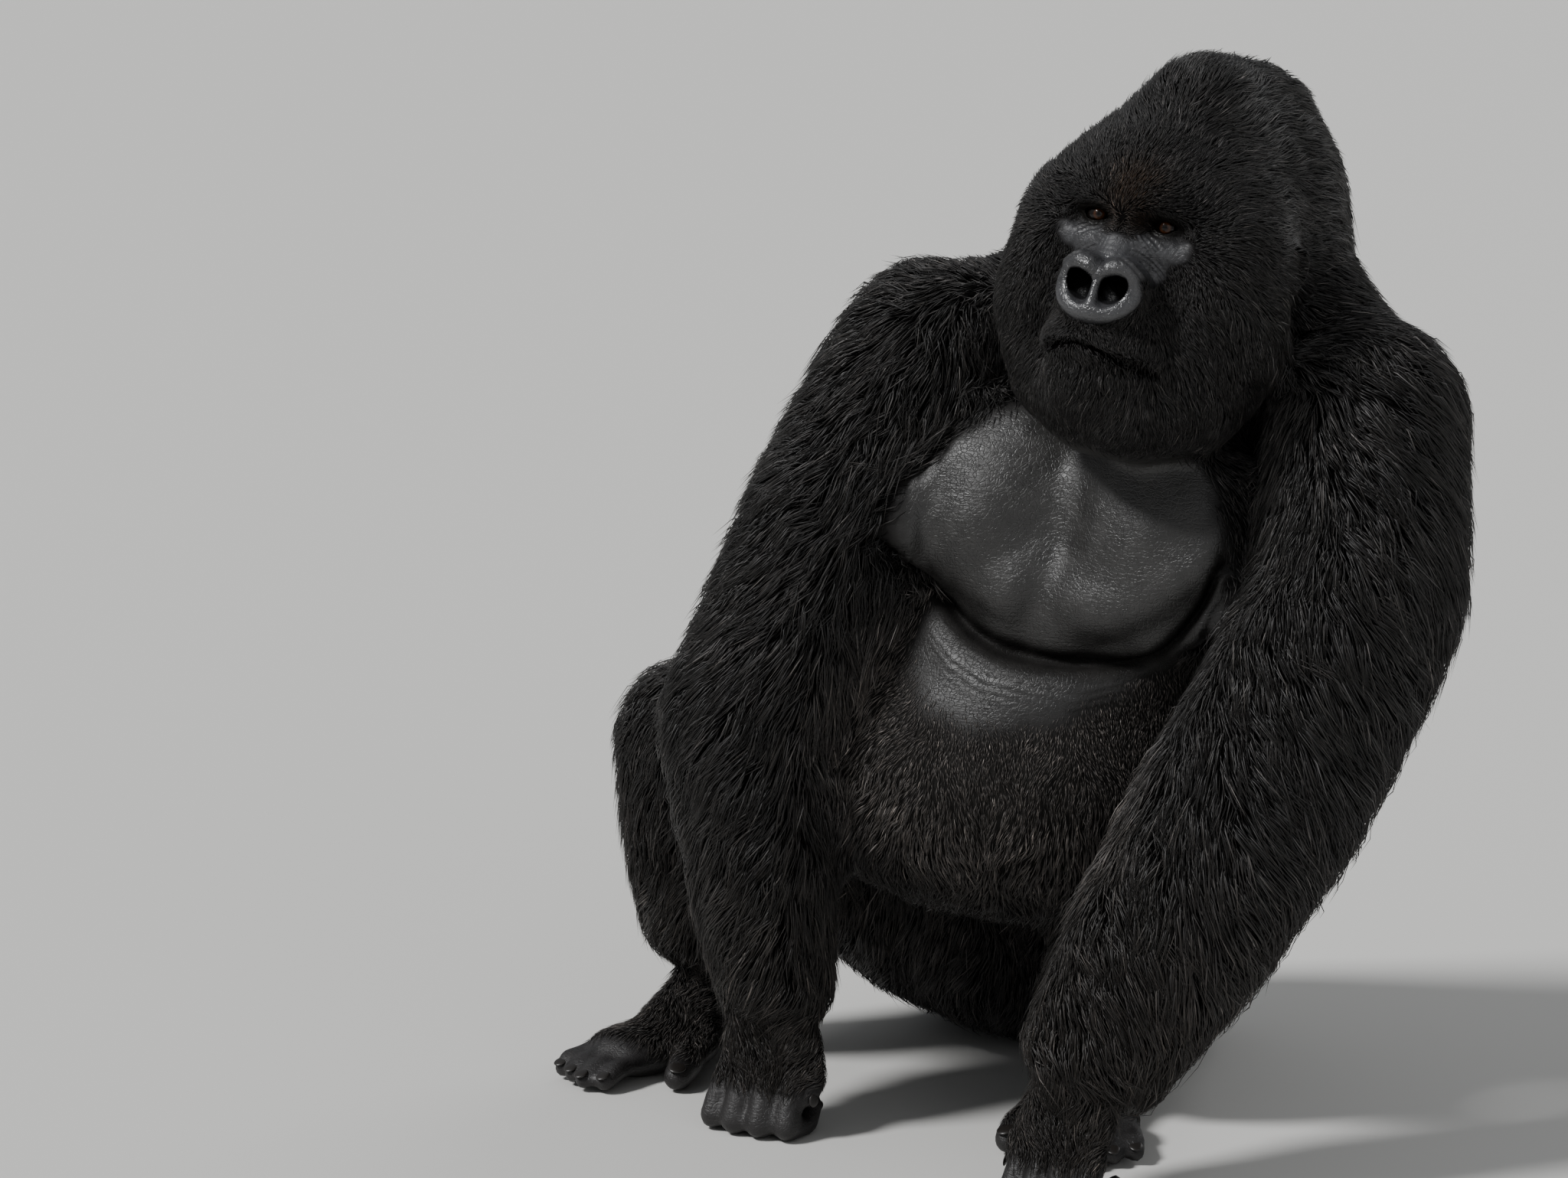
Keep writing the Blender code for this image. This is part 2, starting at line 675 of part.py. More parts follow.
def main():
    clear_scene()
    pieces, workshop = collection_of("gorilla"), collection_of("cutters")
    trunk = whole_body(workshop)
    workshop.objects.unlink(trunk)
    pieces.objects.link(trunk)
    trunk.name = "trunk"
    for side in SIDES:
        hand = hand_frame(side) @ Vector((0, -0.03, -0.09))
        part_limb(
            trunk,
            (SHOULDER[side], ELBOW[side], WRIST[side], hand),
            ["upper_arm_" + side, "forearm_" + side, "hand_" + side],
            lambda bm: add_arm_cutter(bm, side),
            pieces,
            workshop,
        )
    for side in SIDES:
        toes = foot_frame(side) @ Vector((0, -0.10, 0.03))
        part_limb(
            trunk,
            (HIP[side], KNEE[side], ANKLE[side], toes),
            ["thigh_" + side, "shin_" + side, "foot_" + side],
            lambda bm: add_leg_cutter(bm, side),
            pieces,
            workshop,
        )
    head = part_off(trunk, sheath(add_head_cutter, "head_sheath", workshop), "head", pieces, workshop)
    part_off(trunk, sheath(add_neck, "neck_sheath", workshop), "neck", pieces, workshop)
    for side in SIDES:
        add_eye(side, head, pieces, workshop)
    for side in SIDES:
        add_ear(side, head, pieces, workshop)
    stand_over_origin(pieces)
    dress(pieces)
    for tool in workshop.objects:
        tool.hide_render = True
        tool.display_type = "WIRE"


if __name__ == "__main__":
    main()
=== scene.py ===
"""A seated male gorilla, life size and still: skin, eyes, nails and coat over its solid frame."""

import math

import bmesh
import bpy
import numpy as np
from bpy.props import FloatProperty, FloatVectorProperty, IntProperty, PointerProperty
from mathutils import Euler, Matrix, Vector
from mathutils.bvhtree import BVHTree
from mathutils.kdtree import KDTree


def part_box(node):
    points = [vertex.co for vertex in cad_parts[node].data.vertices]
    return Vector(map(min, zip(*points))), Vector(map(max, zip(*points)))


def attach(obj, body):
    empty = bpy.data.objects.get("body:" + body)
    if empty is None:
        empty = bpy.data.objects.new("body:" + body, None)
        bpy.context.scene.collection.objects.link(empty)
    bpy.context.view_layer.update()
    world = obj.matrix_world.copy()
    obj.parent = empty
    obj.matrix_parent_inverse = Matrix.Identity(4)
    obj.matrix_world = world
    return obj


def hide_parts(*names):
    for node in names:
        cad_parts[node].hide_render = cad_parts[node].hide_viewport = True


bl_info = {
    "name": "Seated Gorilla",
    "version": (1, 0, 0),
    "blender": (4, 5, 0),
    "location": "3D View > Sidebar > Gorilla",
    "description": "Dresses the solid frame of a seated gorilla in skin, eyes, nails and coat",
    "category": "Add Mesh",
}

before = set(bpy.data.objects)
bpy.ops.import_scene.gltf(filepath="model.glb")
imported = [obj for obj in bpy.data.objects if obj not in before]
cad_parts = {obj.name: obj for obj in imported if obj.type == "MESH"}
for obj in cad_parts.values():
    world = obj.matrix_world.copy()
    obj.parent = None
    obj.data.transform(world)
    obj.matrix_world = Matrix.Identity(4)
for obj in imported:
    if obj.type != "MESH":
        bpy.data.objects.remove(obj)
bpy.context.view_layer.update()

# Landmarks ---------------------------------------------------------------------------------------

SIDES = {"l": 1, "r": -1}

# The head's own frame: origin midway between the eyes, +X to the animal's left, -Y out of the face.
HEAD_TURN = Euler((math.radians(-12), math.radians(7), math.radians(-2)), "XYZ").to_matrix()
EYE_IN_HEAD = Vector((0.0365, 0.006, -0.003))
EYE_RADIUS = 0.0135
EYES_IN_LAYOUT = Vector((0.043, -0.275, 0.957))


def middle_of(node):
    low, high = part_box(node)
    return (low + high) / 2


def eye_origin():
    """The point between the eyes, from the two eye solids of the frame."""
    between = (middle_of("eye_l") + middle_of("eye_r")) / 2
    return between - HEAD_TURN @ Vector((0, EYE_IN_HEAD.y, EYE_IN_HEAD.z))


HEAD = Matrix.Translation(eye_origin()) @ HEAD_TURN.to_4x4()
MOVED = eye_origin() - EYES_IN_LAYOUT


def at(x, y, z):
    """A place of the working layout, in the frame's own axes."""
    return Vector((x, y, z)) + MOVED


HIP = {"r": at(-0.315, 0.10, 0.15), "l": at(-0.10, 0.10, 0.15)}
KNEE = {"r": at(-0.502, -0.13, 0.36), "l": at(0.065, -0.13, 0.28)}
ANKLE = {"r": at(-0.515, -0.08, 0.085), "l": at(-0.06, -0.14, 0.085)}
FOOT_TURN = {"r": math.radians(-12), "l": math.radians(25)}
SHOULDER = {"r": at(-0.25, -0.10, 0.781), "l": at(0.235, -0.10, 0.745)}
ELBOW = {"r": at(-0.370, -0.29, 0.42), "l": at(0.175, -0.30, 0.37)}
WRIST = {"r": at(-0.325, -0.31, 0.122), "l": at(0.065, -0.445, 0.122)}
HAND_TURN = {"r": math.radians(-8), "l": math.radians(-14)}
CHEST = at(-0.050, -0.220, 0.610)
SADDLE = at(-0.100, 0.230, 0.420)

CAMERA_AZIMUTH, CAMERA_ELEVATION = math.radians(25), math.radians(11)
CAMERA_AIM = at(-0.3555, -0.2289, 0.5452)
CAMERA_DISTANCE, CAMERA_LENS = 6.0, 133.9

# The skin's mesh: how far the solids are swollen before they melt together, the size of a voxel,
# the faces aimed at, and how much sooner the places under the coat are thinned.
SOLID_SWELL = 0.0012
SKIN_VOXEL = 0.003
SKIN_FACES = 78000
COVERED_FAVOUR = 6.0

# The lowest that skin and tufts reach over the floor.
SKIN_LOWEST, TUFT_LOWEST = 0.0005, 0.0003


# Settings ----------------------------------------------------------------------------------------


def linear(code):
    """A colour given as sRGB hex, in linear light."""
    parts = [int(code[i : i + 2], 16) / 255 for i in (1, 3, 5)]
    return (*(c / 12.92 if c <= 0.04045 else ((c + 0.055) / 1.055) ** 2.4 for c in parts), 1)


def shade(colour):
    """A linear colour as an array, from sRGB hex or from a setting."""
    return np.array(linear(colour)[:3] if isinstance(colour, str) else colour)


def tint(name, description, code):
    return FloatVectorProperty(name=name, description=description, default=linear(code)[:3],
                               subtype="COLOR", min=0, max=1)


class GorillaCoatSettings(bpy.types.PropertyGroup):
    tufts: IntProperty(name="Tufts", description="Tufts of hair over the whole body",
                       default=236000)
    width: FloatProperty(name="Tuft width", description="Width of a tuft at its root",
                         default=0.0015, unit="LENGTH")
    seed: IntProperty(name="Seed", description="Start of the random draws", default=7)


class GorillaColourSettings(bpy.types.PropertyGroup):
    hair: tint("Hair", "Colour of most of the coat", "#2c2b2b")
    saddle: tint("Saddle", "Colour of the silver back", "#6c6b6a")
    belly: tint("Belly", "Colour of the thin hair on the belly", "#585452")
    hide: tint("Hide", "Colour of bare skin", "#1c1a1a")
    chest: tint("Chest", "Colour of the bare chest", "#252423")
    # The nose pad is painted a lighter grey than the real dark nose: painted sheen.
    nose: tint("Nose", "Colour of the wet pad of the nose", "#313133")
    iris: tint("Iris", "Colour of the middle of the iris", "#3c210e")
    nails: tint("Nails", "Colour of the nails", "#1d1a18")


class GorillaStageSettings(bpy.types.PropertyGroup):
    floor_size: FloatProperty(name="Floor", description="Side of the floor", default=70.0,
                              unit="LENGTH")
    floor_colour: tint("Floor colour", "Colour of the floor", "#cecdca")
    key_strength: FloatProperty(name="Key light", description="Strength of the soft sun",
                                default=3.4)
    fill_strength: FloatProperty(name="Fill light", description="Strength of the wide fill",
                                 default=0.35)


# Shape tools -------------------------------------------------------------------------------------


def add_all(bm, piece):
    """Puts one bmesh into another and frees it."""
    passing = bpy.data.meshes.new("passing")
    piece.to_mesh(passing)
    piece.free()
    bm.from_mesh(passing)
    bpy.data.meshes.remove(passing)


def ball(bm, centre, radii, turn=(0, 0, 0), base=Matrix()):
    sizes = (radii,) * 3 if isinstance(radii, float) else radii
    spin = Euler([math.radians(a) for a in turn]).to_matrix().to_4x4()
    spot = base @ Matrix.Translation(centre) @ spin @ Matrix.Diagonal((*sizes, 1))
    bmesh.ops.create_icosphere(bm, subdivisions=3, radius=1, matrix=spot)


def hull(bm, balls, base=Matrix()):
    """The tight skin round some balls, each (centre, radius or radii)."""
    piece = bmesh.new()
    for centre, radii in balls:
        ball(piece, centre, radii, base=base)
    bmesh.ops.delete(piece, geom=list(piece.edges), context="EDGES_FACES")
    made = bmesh.ops.convex_hull(piece, input=list(piece.verts))
    loose = [v for v in made["geom_interior"] if isinstance(v, bmesh.types.BMVert)]
    bmesh.ops.delete(piece, geom=loose, context="VERTS")
    add_all(bm, piece)


def limb(bm, balls, base=Matrix()):
    for pair in zip(balls, balls[1:]):
        hull(bm, pair, base)


def linked(mesh):
    obj = bpy.data.objects.new(mesh.name, mesh)
    bpy.context.scene.collection.objects.link(obj)
    return obj


def object_from(bm, name):
    mesh = bpy.data.meshes.new(name)
    bm.to_mesh(mesh)
    bm.free()
    return linked(mesh)


def modify(obj, name, kind, **settings):
    modifier = obj.modifiers.new(name, kind)
    for key, value in settings.items():
        setattr(modifier, key, value)


def settle(obj):
    """Makes the object's modifiers part of its mesh."""
    graph = bpy.context.evaluated_depsgraph_get()
    graph.update()
    settled = bpy.data.meshes.new_from_object(obj.evaluated_get(graph))
    old = obj.data
    obj.modifiers.clear()
    obj.data = settled
    settled.name = obj.name
    bpy.data.meshes.remove(old)


def read(items, name, width, kind=np.float32):
    """One property of a mesh's many items, as the rows of an array."""
    flat = np.empty(len(items) * width, kind)
    items.foreach_get(name, flat)
    return flat.reshape(-1, width)


def write(items, name, rows, kind=np.float32):
    items.foreach_set(name, rows.astype(kind).ravel())


def points_of(mesh):
    return read(mesh.vertices, "co", 3).astype(np.float64)


def normals_of(mesh):
    return read(mesh.vertex_normals, "vector", 3).astype(np.float64)


def ends_of(mesh):
    return read(mesh.edges, "vertices", 2, np.int32)


def triangles_of(mesh, corner="vertices"):
    mesh.calc_loop_triangles()
    return read(mesh.loop_triangles, corner, 3, np.int32)


def put_points(mesh, points):
    write(mesh.vertices, "co", points)
    mesh.update()


def lifted(points, lowest):
    """The places with none of them lower than this."""
    points[:, 2] = np.maximum(points[:, 2], lowest)
    return points


def smooth_faces(mesh):
    write(mesh.polygons, "use_smooth", np.ones(len(mesh.polygons)), bool)


def give_values(mesh, name, kind, values):
    layer = mesh.attributes.new(name, kind, "POINT")
    write(layer.data, {"FLOAT": "value", "FLOAT_VECTOR": "vector"}[kind], values)


def give_colours(mesh, colours):
    """The colours of hair or hide, one at each vertex."""
    layer = mesh.color_attributes.new("hair_colour", "FLOAT_COLOR", "POINT")
    write(layer.data, "color", np.column_stack((colours, np.ones(len(colours)))))


def unit(vectors):
    return vectors / np.maximum(np.linalg.norm(vectors, axis=-1, keepdims=True), 1e-9)


def turned(degrees):
    return Euler([math.radians(a) for a in degrees]).to_matrix()


def in_frame(points, matrix):
    back = np.array(matrix.inverted())
    return points @ back[:3, :3].T + back[:3, 3]


def in_layout(points):
    """The coordinates of places in the working layout, axis by axis."""
    return (points - np.array(MOVED)).T


def mirrored(points):
    """The places with |x| for x."""
    return np.column_stack((np.abs(points[:, 0]), points[:, 1:]))


def near(points, centre, radii):
    """1 at the centre of a soft ellipsoid, fading to 0 outside it."""
    far = (((points - np.array(centre)) / np.array(radii)) ** 2).sum(axis=1)
    return np.exp(-far)


def hill(values, middle, reach):
    """1 where a value is at the middle, fading to 0 past its reach."""
    return np.exp(-(((values - middle) / reach) ** 2))


def step(low, high, values):
    """0 up to low and 1 from high on, with a smooth climb between."""
    share = np.clip((values - low) / (high - low), 0, 1)
    return share * share * (3 - 2 * share)


def spread(values, ends, rounds):
    """Evens out values over neighbouring vertices."""
    count = len(values)
    values = values.reshape(count, -1).astype(float)
    links = np.bincount(ends.ravel(), minlength=count)[:, None]
    for _ in range(rounds):
        total = np.empty_like(values)
        for column in range(values.shape[1]):
            total[:, column] = np.bincount(ends[:, 0], values[ends[:, 1], column], count)
            total[:, column] += np.bincount(ends[:, 1], values[ends[:, 0], column], count)
        values = 0.5 * values + 0.5 * total / np.maximum(links, 1)
    return values.squeeze()


def weigh(obj, name, weights):
    """A vertex group from an array of weights, in steps of a twentieth."""
    group = obj.vertex_groups.new(name=name)
    steps = np.round(weights * 20).astype(int)
    for value in range(21):
        chosen = np.nonzero(steps == value)[0].tolist()
        if chosen:
            group.add(chosen, value / 20, "REPLACE")


# Masses of the skin ------------------------------------------------------------------------------

FINGERS = TOES = 4
EAR_PLACE, EAR_TURN = Vector((0.130, 0.104, -0.020)), (-6, 8, -28)


def hand_frame(side):
    """Origin at the wrist, -Y forward, fingers spread along X."""
    return Matrix.Translation(WRIST[side]) @ Matrix.Rotation(HAND_TURN[side], 4, "Z")


def foot_frame(side):
    """Origin on the floor under the ankle, -Y towards the toes."""
    ankle = ANKLE[side]
    return Matrix.Translation((ankle.x, ankle.y, 0)) @ Matrix.Rotation(FOOT_TURN[side], 4, "Z")


def finger(number):
    """A bent finger, from the knuckle down and back under the palm."""
    across = (number - 1.5) * 0.0305
    bent = 0.006 * abs(number - 1.5)
    return (
        (Vector((across * 0.86, -0.038 + bent, -0.060)), 0.0150),
        (Vector((across * 0.97, -0.055 + bent, -0.088)), 0.0128),
        (Vector((across, -0.062 + bent, -0.108)), 0.0148),
        (Vector((across, -0.040 + bent, -0.111)), 0.0118),
        (Vector((across, -0.016, -0.111)), 0.0132),
        (Vector((across * 0.9, 0.004, -0.094)), 0.0115),
    )


def thumb(sign):
    """The thumb of the hand on this side, from its root to its tip."""
    return (
        (Vector((-0.040 * sign, -0.004, -0.018)), 0.017),
        (Vector((-0.058 * sign, -0.014, -0.046)), 0.0115),
        (Vector((-0.062 * sign, -0.020, -0.062)), 0.0125),
        (Vector((-0.058 * sign, -0.030, -0.080)), 0.0100),
    )


def toe(number, sign):
    across = (-0.022 + number * 0.0235) * sign
    reach = -0.215 + 0.012 * abs(number - 0.8)
    middle = (reach - 0.150) / 2
    return (
        (Vector((across * 0.95, -0.150, 0.020)), 0.0135),
        (Vector((across, middle + 0.008, 0.021)), 0.0105),
        (Vector((across, middle - 0.008, 0.021)), 0.0120),
        (Vector((across, reach, 0.012)), 0.0115),
    )


def big_toe(sign):
    return (
        (Vector((-0.034 * sign, -0.060, 0.028)), 0.025),
        (Vector((-0.060 * sign, -0.108, 0.025)), 0.0160),
        (Vector((-0.068 * sign, -0.125, 0.023)), 0.0180),
        (Vector((-0.078 * sign, -0.155, 0.016)), 0.0160),
    )


def add_hand(bm, side):
    """A knuckled hand: back of the hand forward, four bent fingers and the thumb."""
    base = hand_frame(side)
    ball(bm, (0, -0.016, -0.032), (0.056, 0.031, 0.050), (-28, 0, 0), base)
    palm = (Vector((0, -0.012, -0.030)), (0.050, 0.028, 0.030))
    hull(bm, ((Vector((0, 0, 0.015)), 0.045), palm), base)
    for number in range(FINGERS):
        limb(bm, finger(number), base)
        root = Vector(((number - 1.5) * 0.020, -0.010, -0.010))
        hull(bm, ((root, 0.014), finger(number)[0]), base)
    limb(bm, thumb(SIDES[side]), base)


def add_foot(bm, side):
    """Heel, sole, four toes and a big toe that stands off like a thumb."""
    base, sign = foot_frame(side), SIDES[side]
    ball(bm, (0, 0.032, 0.036), (0.037, 0.044, 0.041), base=base)
    hull(bm, ((Vector((0, 0, 0.060)), 0.044), (Vector((0, -0.080, 0.034)), 0.036)), base)
    ball(bm, (0.008 * sign, -0.115, 0.024), (0.052, 0.058, 0.028), base=base)
    for number in range(TOES):
        limb(bm, toe(number, sign), base)
    limb(bm, big_toe(sign), base)


def add_ear(bm, side):
    """The ear's disc with its rolled rim."""
    sign = SIDES[side]
    flip = Vector((sign, 1, 1))
    turn = turned((EAR_TURN[0], EAR_TURN[1] * sign, EAR_TURN[2] * sign)).to_4x4()
    spot = HEAD @ Matrix.Translation(EAR_PLACE * flip) @ turn
    ball(bm, (0, 0.004, 0), (0.008, 0.017, 0.026), base=spot)
    rim = []
    for number in range(10):
        angle = math.radians(-125 + 26 * number)
        high = 0.0245 * math.sin(angle)
        rim.append((Vector((0.006 * sign, 0.003 + 0.0155 * math.cos(angle), high)), 0.0038))
    limb(bm, rim, spot)


def flesh_solids():
    return [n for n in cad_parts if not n.startswith("eye")]


def add_solids(bm):
    """The frame's flesh solids, each swollen a little so that they overlap and melt together."""
    for name in flesh_solids():
        if name.split("_")[0] in ("hand", "foot", "ear"):
            continue
        part = bmesh.new()
        part.from_mesh(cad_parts[name].data)
        bmesh.ops.remove_doubles(part, verts=part.verts, dist=1e-5)
        part.normal_update()
        for vertex in part.verts:
            vertex.co += vertex.normal * SOLID_SWELL
        add_all(bm, part)


def fine_at(points):
    """1 where fine form matters: the face, ears, hands and feet."""
    local = in_frame(points, HEAD)
    found = 1.5 * near(local, (0, -0.010, -0.050), (0.085, 0.080, 0.105))
    for side, sign in SIDES.items():
        ear = near(local, (0.134 * sign, 0.104, -0.020), (0.030, 0.035, 0.040))
        hand = np.array(hand_frame(side) @ Vector((0, -0.025, -0.075)))
        toes = np.array(foot_frame(side) @ Vector((0, -0.11, 0)))
        found = np.maximum(found, 1.8 * ear)
        found = np.maximum(found, 0.8 * near(points, hand, (0.085, 0.085, 0.075)))
        found = np.maximum(found, 0.8 * near(points, toes, (0.13, 0.15, 0.070)))
    return np.clip(found, 0, 1)


def melted_skin():
    """One closed skin round solids, hands, feet and ears, thinned where the coat will cover it."""
    bm = bmesh.new()
    add_solids(bm)
    for side in SIDES:
        add_hand(bm, side)
        add_foot(bm, side)
        add_ear(bm, side)
    skin = object_from(bm, "skin")
    modify(skin, "Melt", "REMESH", mode="VOXEL", voxel_size=SKIN_VOXEL)
    settle(skin)
    points = points_of(skin.data)
    fine = fine_at(points)
    chest = near(points, CHEST - Vector((0, 0, 0.05)), (0.20, 0.16, 0.19))
    weigh(skin, "smooth", 1 - fine)
    weigh(skin, "covered", 1 - np.maximum(fine, 0.75 * step(0.15, 0.6, chest)))
    modify(skin, "Soften", "SMOOTH", factor=0.6, iterations=70, vertex_group="smooth")
    modify(skin, "Polish", "SMOOTH", factor=0.5, iterations=4)
    settle(skin)
    modify(skin, "Thin", "DECIMATE", ratio=SKIN_FACES / (2 * len(skin.data.polygons)),
           vertex_group="covered", vertex_group_factor=COVERED_FAVOUR)
    settle(skin)
    put_points(skin.data, lifted(points_of(skin.data), SKIN_LOWEST))
    return skin


# Forms -------------------------------------------------------------------------------------------


def egg(points, centre, radii, turn=(0, 0, 0)):
    """Distance from an ellipsoid's surface, near enough, and below zero inside it."""
    spun = (points - np.array(centre)) @ np.array(turned(turn))
    far = np.linalg.norm(spun / np.array(radii), axis=1)
    slope = np.linalg.norm(spun / np.array(radii) ** 2, axis=1)
    return far * (far - 1) / np.maximum(slope, 1e-6)


def tube(points, path, widths):
    """Distance from a tube along a path whose width changes."""
    path = np.array(path, float)
    widths = np.broadcast_to(np.array(widths, float), len(path))
    least = np.full(len(points), 1.0)
    for index in range(len(path) - 1):
        along = path[index + 1] - path[index]
        share = np.clip((points - path[index]) @ along / (along @ along), 0, 1)
        far = np.linalg.norm(points - path[index] - share[:, None] * along, axis=1)
        grown = widths[index + 1] - widths[index]
        least = np.minimum(least, far - widths[index] - share * grown)
    return least


def curved(rows, parts):
    """Rows joined by a smooth curve, with this many parts between each two."""
    rows = np.array(rows, float)
    ends = (2 * rows[:1] - rows[1:2], rows, 2 * rows[-1:] - rows[-2:-1])
    padded = np.concatenate(ends)
    found = []
    for index in range(len(rows) - 1):
        a, b, c, d = padded[index : index + 4]
        for part in range(parts):
            t = part / parts
            bend = 2 * a - 5 * b + 4 * c - d + t * (3 * (b - c) + d - a)
            found.append(b + t / 2 * (c - a + t * bend))
    return np.array([*found, rows[-1]])


def merged(soft, *fars):
    """Forms run together with a soft join of this size."""
    stack = np.stack(fars) / -soft
    top = stack.max(axis=0)
    return -soft * (top + np.log(np.exp(stack - top).sum(axis=0)))


def hollowed(far, cut, soft):
    return -merged(soft, -far, cut)


def waves(values, length, drift=0.0):
    """Folds of this wavelength along the values, set off by a drift."""
    return np.cos(2 * math.pi * values / length + drift)


def ripple(points, length, seed):
    """A smooth irregular swing between about -1 and 1, with waves of this length."""
    rng = np.random.default_rng(seed)
    total = np.zeros(len(points))
    for _ in range(5):
        way = unit(rng.normal(size=3)) * 2 * math.pi / (length * rng.uniform(0.7, 1.5))
        total += np.sin(points @ way + rng.uniform(0, 6.3))
    return total / 2.2


# Face --------------------------------------------------------------------------------------------

# Everything here is in the head's frame, in metres. Paired forms are given on the left side.
FLAT = np.array((1, 0, 1))

# Eggs are (centre, radii) and a turn in degrees where there is one.
SKULL = (
    ((0, 0.120, 0.005), (0.136, 0.150, 0.125)),
    ((0, 0.052, -0.176), (0.088, 0.085, 0.066)),
    ((0.086, 0.062, -0.012), (0.060, 0.075, 0.075)),
    ((0.092, 0.072, -0.080), (0.062, 0.088, 0.100)),
    ((0.064, 0.080, -0.150), (0.068, 0.082, 0.070)),
    ((0, 0.050, 0.055), (0.084, 0.058, 0.058)),
    ((0.060, 0.036, -0.042), (0.042, 0.044, 0.032)),
    ((0, 0.022, -0.098), (0.070, 0.066, 0.060)),
    ((0, 0.000, -0.131), (0.067, 0.066, 0.038)),
    ((0, 0.000, -0.168), (0.062, 0.056, 0.038)),
)
NOSE = (
    ((0, -0.026, -0.075), (0.036, 0.030, 0.031)),
    ((0.018, -0.034, -0.060), (0.020, 0.022, 0.017)),
    ((0.027, -0.036, -0.075), (0.018, 0.018, 0.024), (0, 0, 14)),
    ((0.015, -0.040, -0.092), (0.022, 0.022, 0.016)),
    ((0, -0.042, -0.091), (0.016, 0.0225, 0.0165)),
)
EYE_HOLLOW = ((0.039, -0.016, -0.006), (0.027, 0.022, 0.0135), (0, 8, 0))
EYE_BULGE = (EYE_IN_HEAD, (EYE_RADIUS + 0.0022,) * 3)
NOSE_CUP = ((0.0160, -0.0650, -0.0775), (0.0108, 0.0135, 0.0150), (-8, 38, 0))
NOSTRIL = ((0.0172, -0.0545, -0.0725), (0.0094, 0.0170, 0.0132), (-10, 46, 0))
NOSTRIL_WALL = (NOSTRIL[0], (0.0106, 0.0170, 0.0140), (-10, 42, 0))
NOSTRIL_FRONT = ((0.0172, 0, -0.0740), (0.0125, 1.0, 0.0165), (0, 38, 0))
NOSE_OUTLINE = ((0.0, 0.0, -0.0755), (0.0460, 1.0, 0.0340))

# Tubes are (path, widths).
BROW = (((0.0, -0.001, 0.026), (0.046, -0.004, 0.030), (0.088, 0.036, 0.014)), 0.024)
BRIDGE = (((0, 0.004, 0.004), (0, -0.024, -0.046)), (0.014, 0.018))
LID_FOLDS = (
    (((0.019, -0.0075, 0.002), (0.031, -0.0095, 0.0092), (0.046, -0.0065, 0.0082),
      (0.060, 0.004, -0.001), (0.070, 0.014, -0.006)), (0.0025, 0.0034, 0.0036, 0.0026, 0.002)),
    (((0.017, -0.0105, -0.012), (0.031, -0.0115, -0.0190), (0.048, -0.005, -0.0185),
      (0.060, 0.008, -0.0135)), (0.0024, 0.0034, 0.0030, 0.0010)),
    (((0.026, -0.0165, -0.030), (0.044, -0.010, -0.0320), (0.060, 0.004, -0.027)),
     (0.0030, 0.0026, 0.0008)),
)
SEPTUM = (((0, -0.0500, -0.0640), (0, -0.0585, -0.0740), (0, -0.0600, -0.0880),
           (0, -0.0580, -0.0960)), (0.0040, 0.0032, 0.0042, 0.0070))
NOSE_GROOVE = (((0, -0.0665, -0.0640), (0, -0.0640, -0.0560), (0, -0.0570, -0.0440)),
               (0.0008, 0.0030, 0.0030))
NOSE_RIM = (
    (0.000, -0.0560, -0.0580),
    (0.010, -0.0545, -0.0545),
    (0.022, -0.0500, -0.0530),
    (0.0315, -0.0440, -0.0590),
    (0.0350, -0.0405, -0.0725),
    (0.0330, -0.0440, -0.0865),
    (0.0240, -0.0490, -0.0950),
    (0.0110, -0.0540, -0.0980),
    (0.000, -0.0555, -0.0980),
)
NOSE_RIM_WIDTH = (0.0060, 0.0090, 0.0108, 0.0105, 0.0102, 0.0105, 0.0108, 0.0105, 0.0100)
MOUTH = (
    (-0.0640, -0.0200, -0.1455),
    (-0.0510, -0.0405, -0.1418),
    (-0.0385, -0.0515, -0.1375),
    (-0.0185, -0.0612, -0.1320),
    (-0.0015, -0.0640, -0.1297),
    (0.0165, -0.0618, -0.1338),
    (0.0355, -0.0536, -0.1395),
    (0.0505, -0.0410, -0.1425),
    (0.0640, -0.0200, -0.1445),
)


def lid_slit(points, side):
    """Below zero in front of the eye, between the lids."""
    eye = np.array(EYE_IN_HEAD) * np.array((side, 1, 1))
    across = (points[:, 0] - eye[0]) / 0.0150 * side
    high = points[:, 2] - eye[2] - 0.0006 * across
    room = 1 - np.abs(across) ** 2.0
    upper, lower = 0.0047 * room + 0.0002, -0.0058 * room + 0.0002
    slit = 0.92 * np.maximum(high - upper, lower - high)
    inner = EYE_RADIUS - 0.0008 - np.linalg.norm(points - eye, axis=1)
    return np.maximum(slit, inner)


def face_mass(q):
    """Distance from the large forms of the face, with |x| for x."""
    mass = merged(0.004, *(egg(q, *each) for each in SKULL))
    nose = merged(0.0045, *(egg(q, *each) for each in NOSE))
    face = merged(0.005, mass, tube(q, *BROW), tube(q, *BRIDGE))
    face = hollowed(face, egg(q, *EYE_HOLLOW), 0.005)
    return merged(0.0035, face, egg(q, *EYE_BULGE), nose)


def face_form(points, opened=1.0):
    """Distance from the finished face: masses, lids, rim and holes of the nose, so far opened."""
    q = mirrored(points)
    face = merged(0.0022, face_mass(q), *(tube(q, *each) for each in LID_FOLDS))
    face = merged(0.0040, face, tube(q, curved(NOSE_RIM, 2), curved(NOSE_RIM_WIDTH, 2)))
    for (centre, radii, turn), soft in ((NOSE_CUP, 0.0032), (NOSTRIL, 0.0025)):
        face = hollowed(face, egg(q, centre, np.array(radii) * opened, turn), soft)
    face = merged(0.0020, face, tube(q, *SEPTUM))
    face = hollowed(face, tube(q, *NOSE_GROOVE), 0.0022)
    for sign in SIDES.values():
        face = hollowed(face, lid_slit(points, sign), 0.0008)
    return face


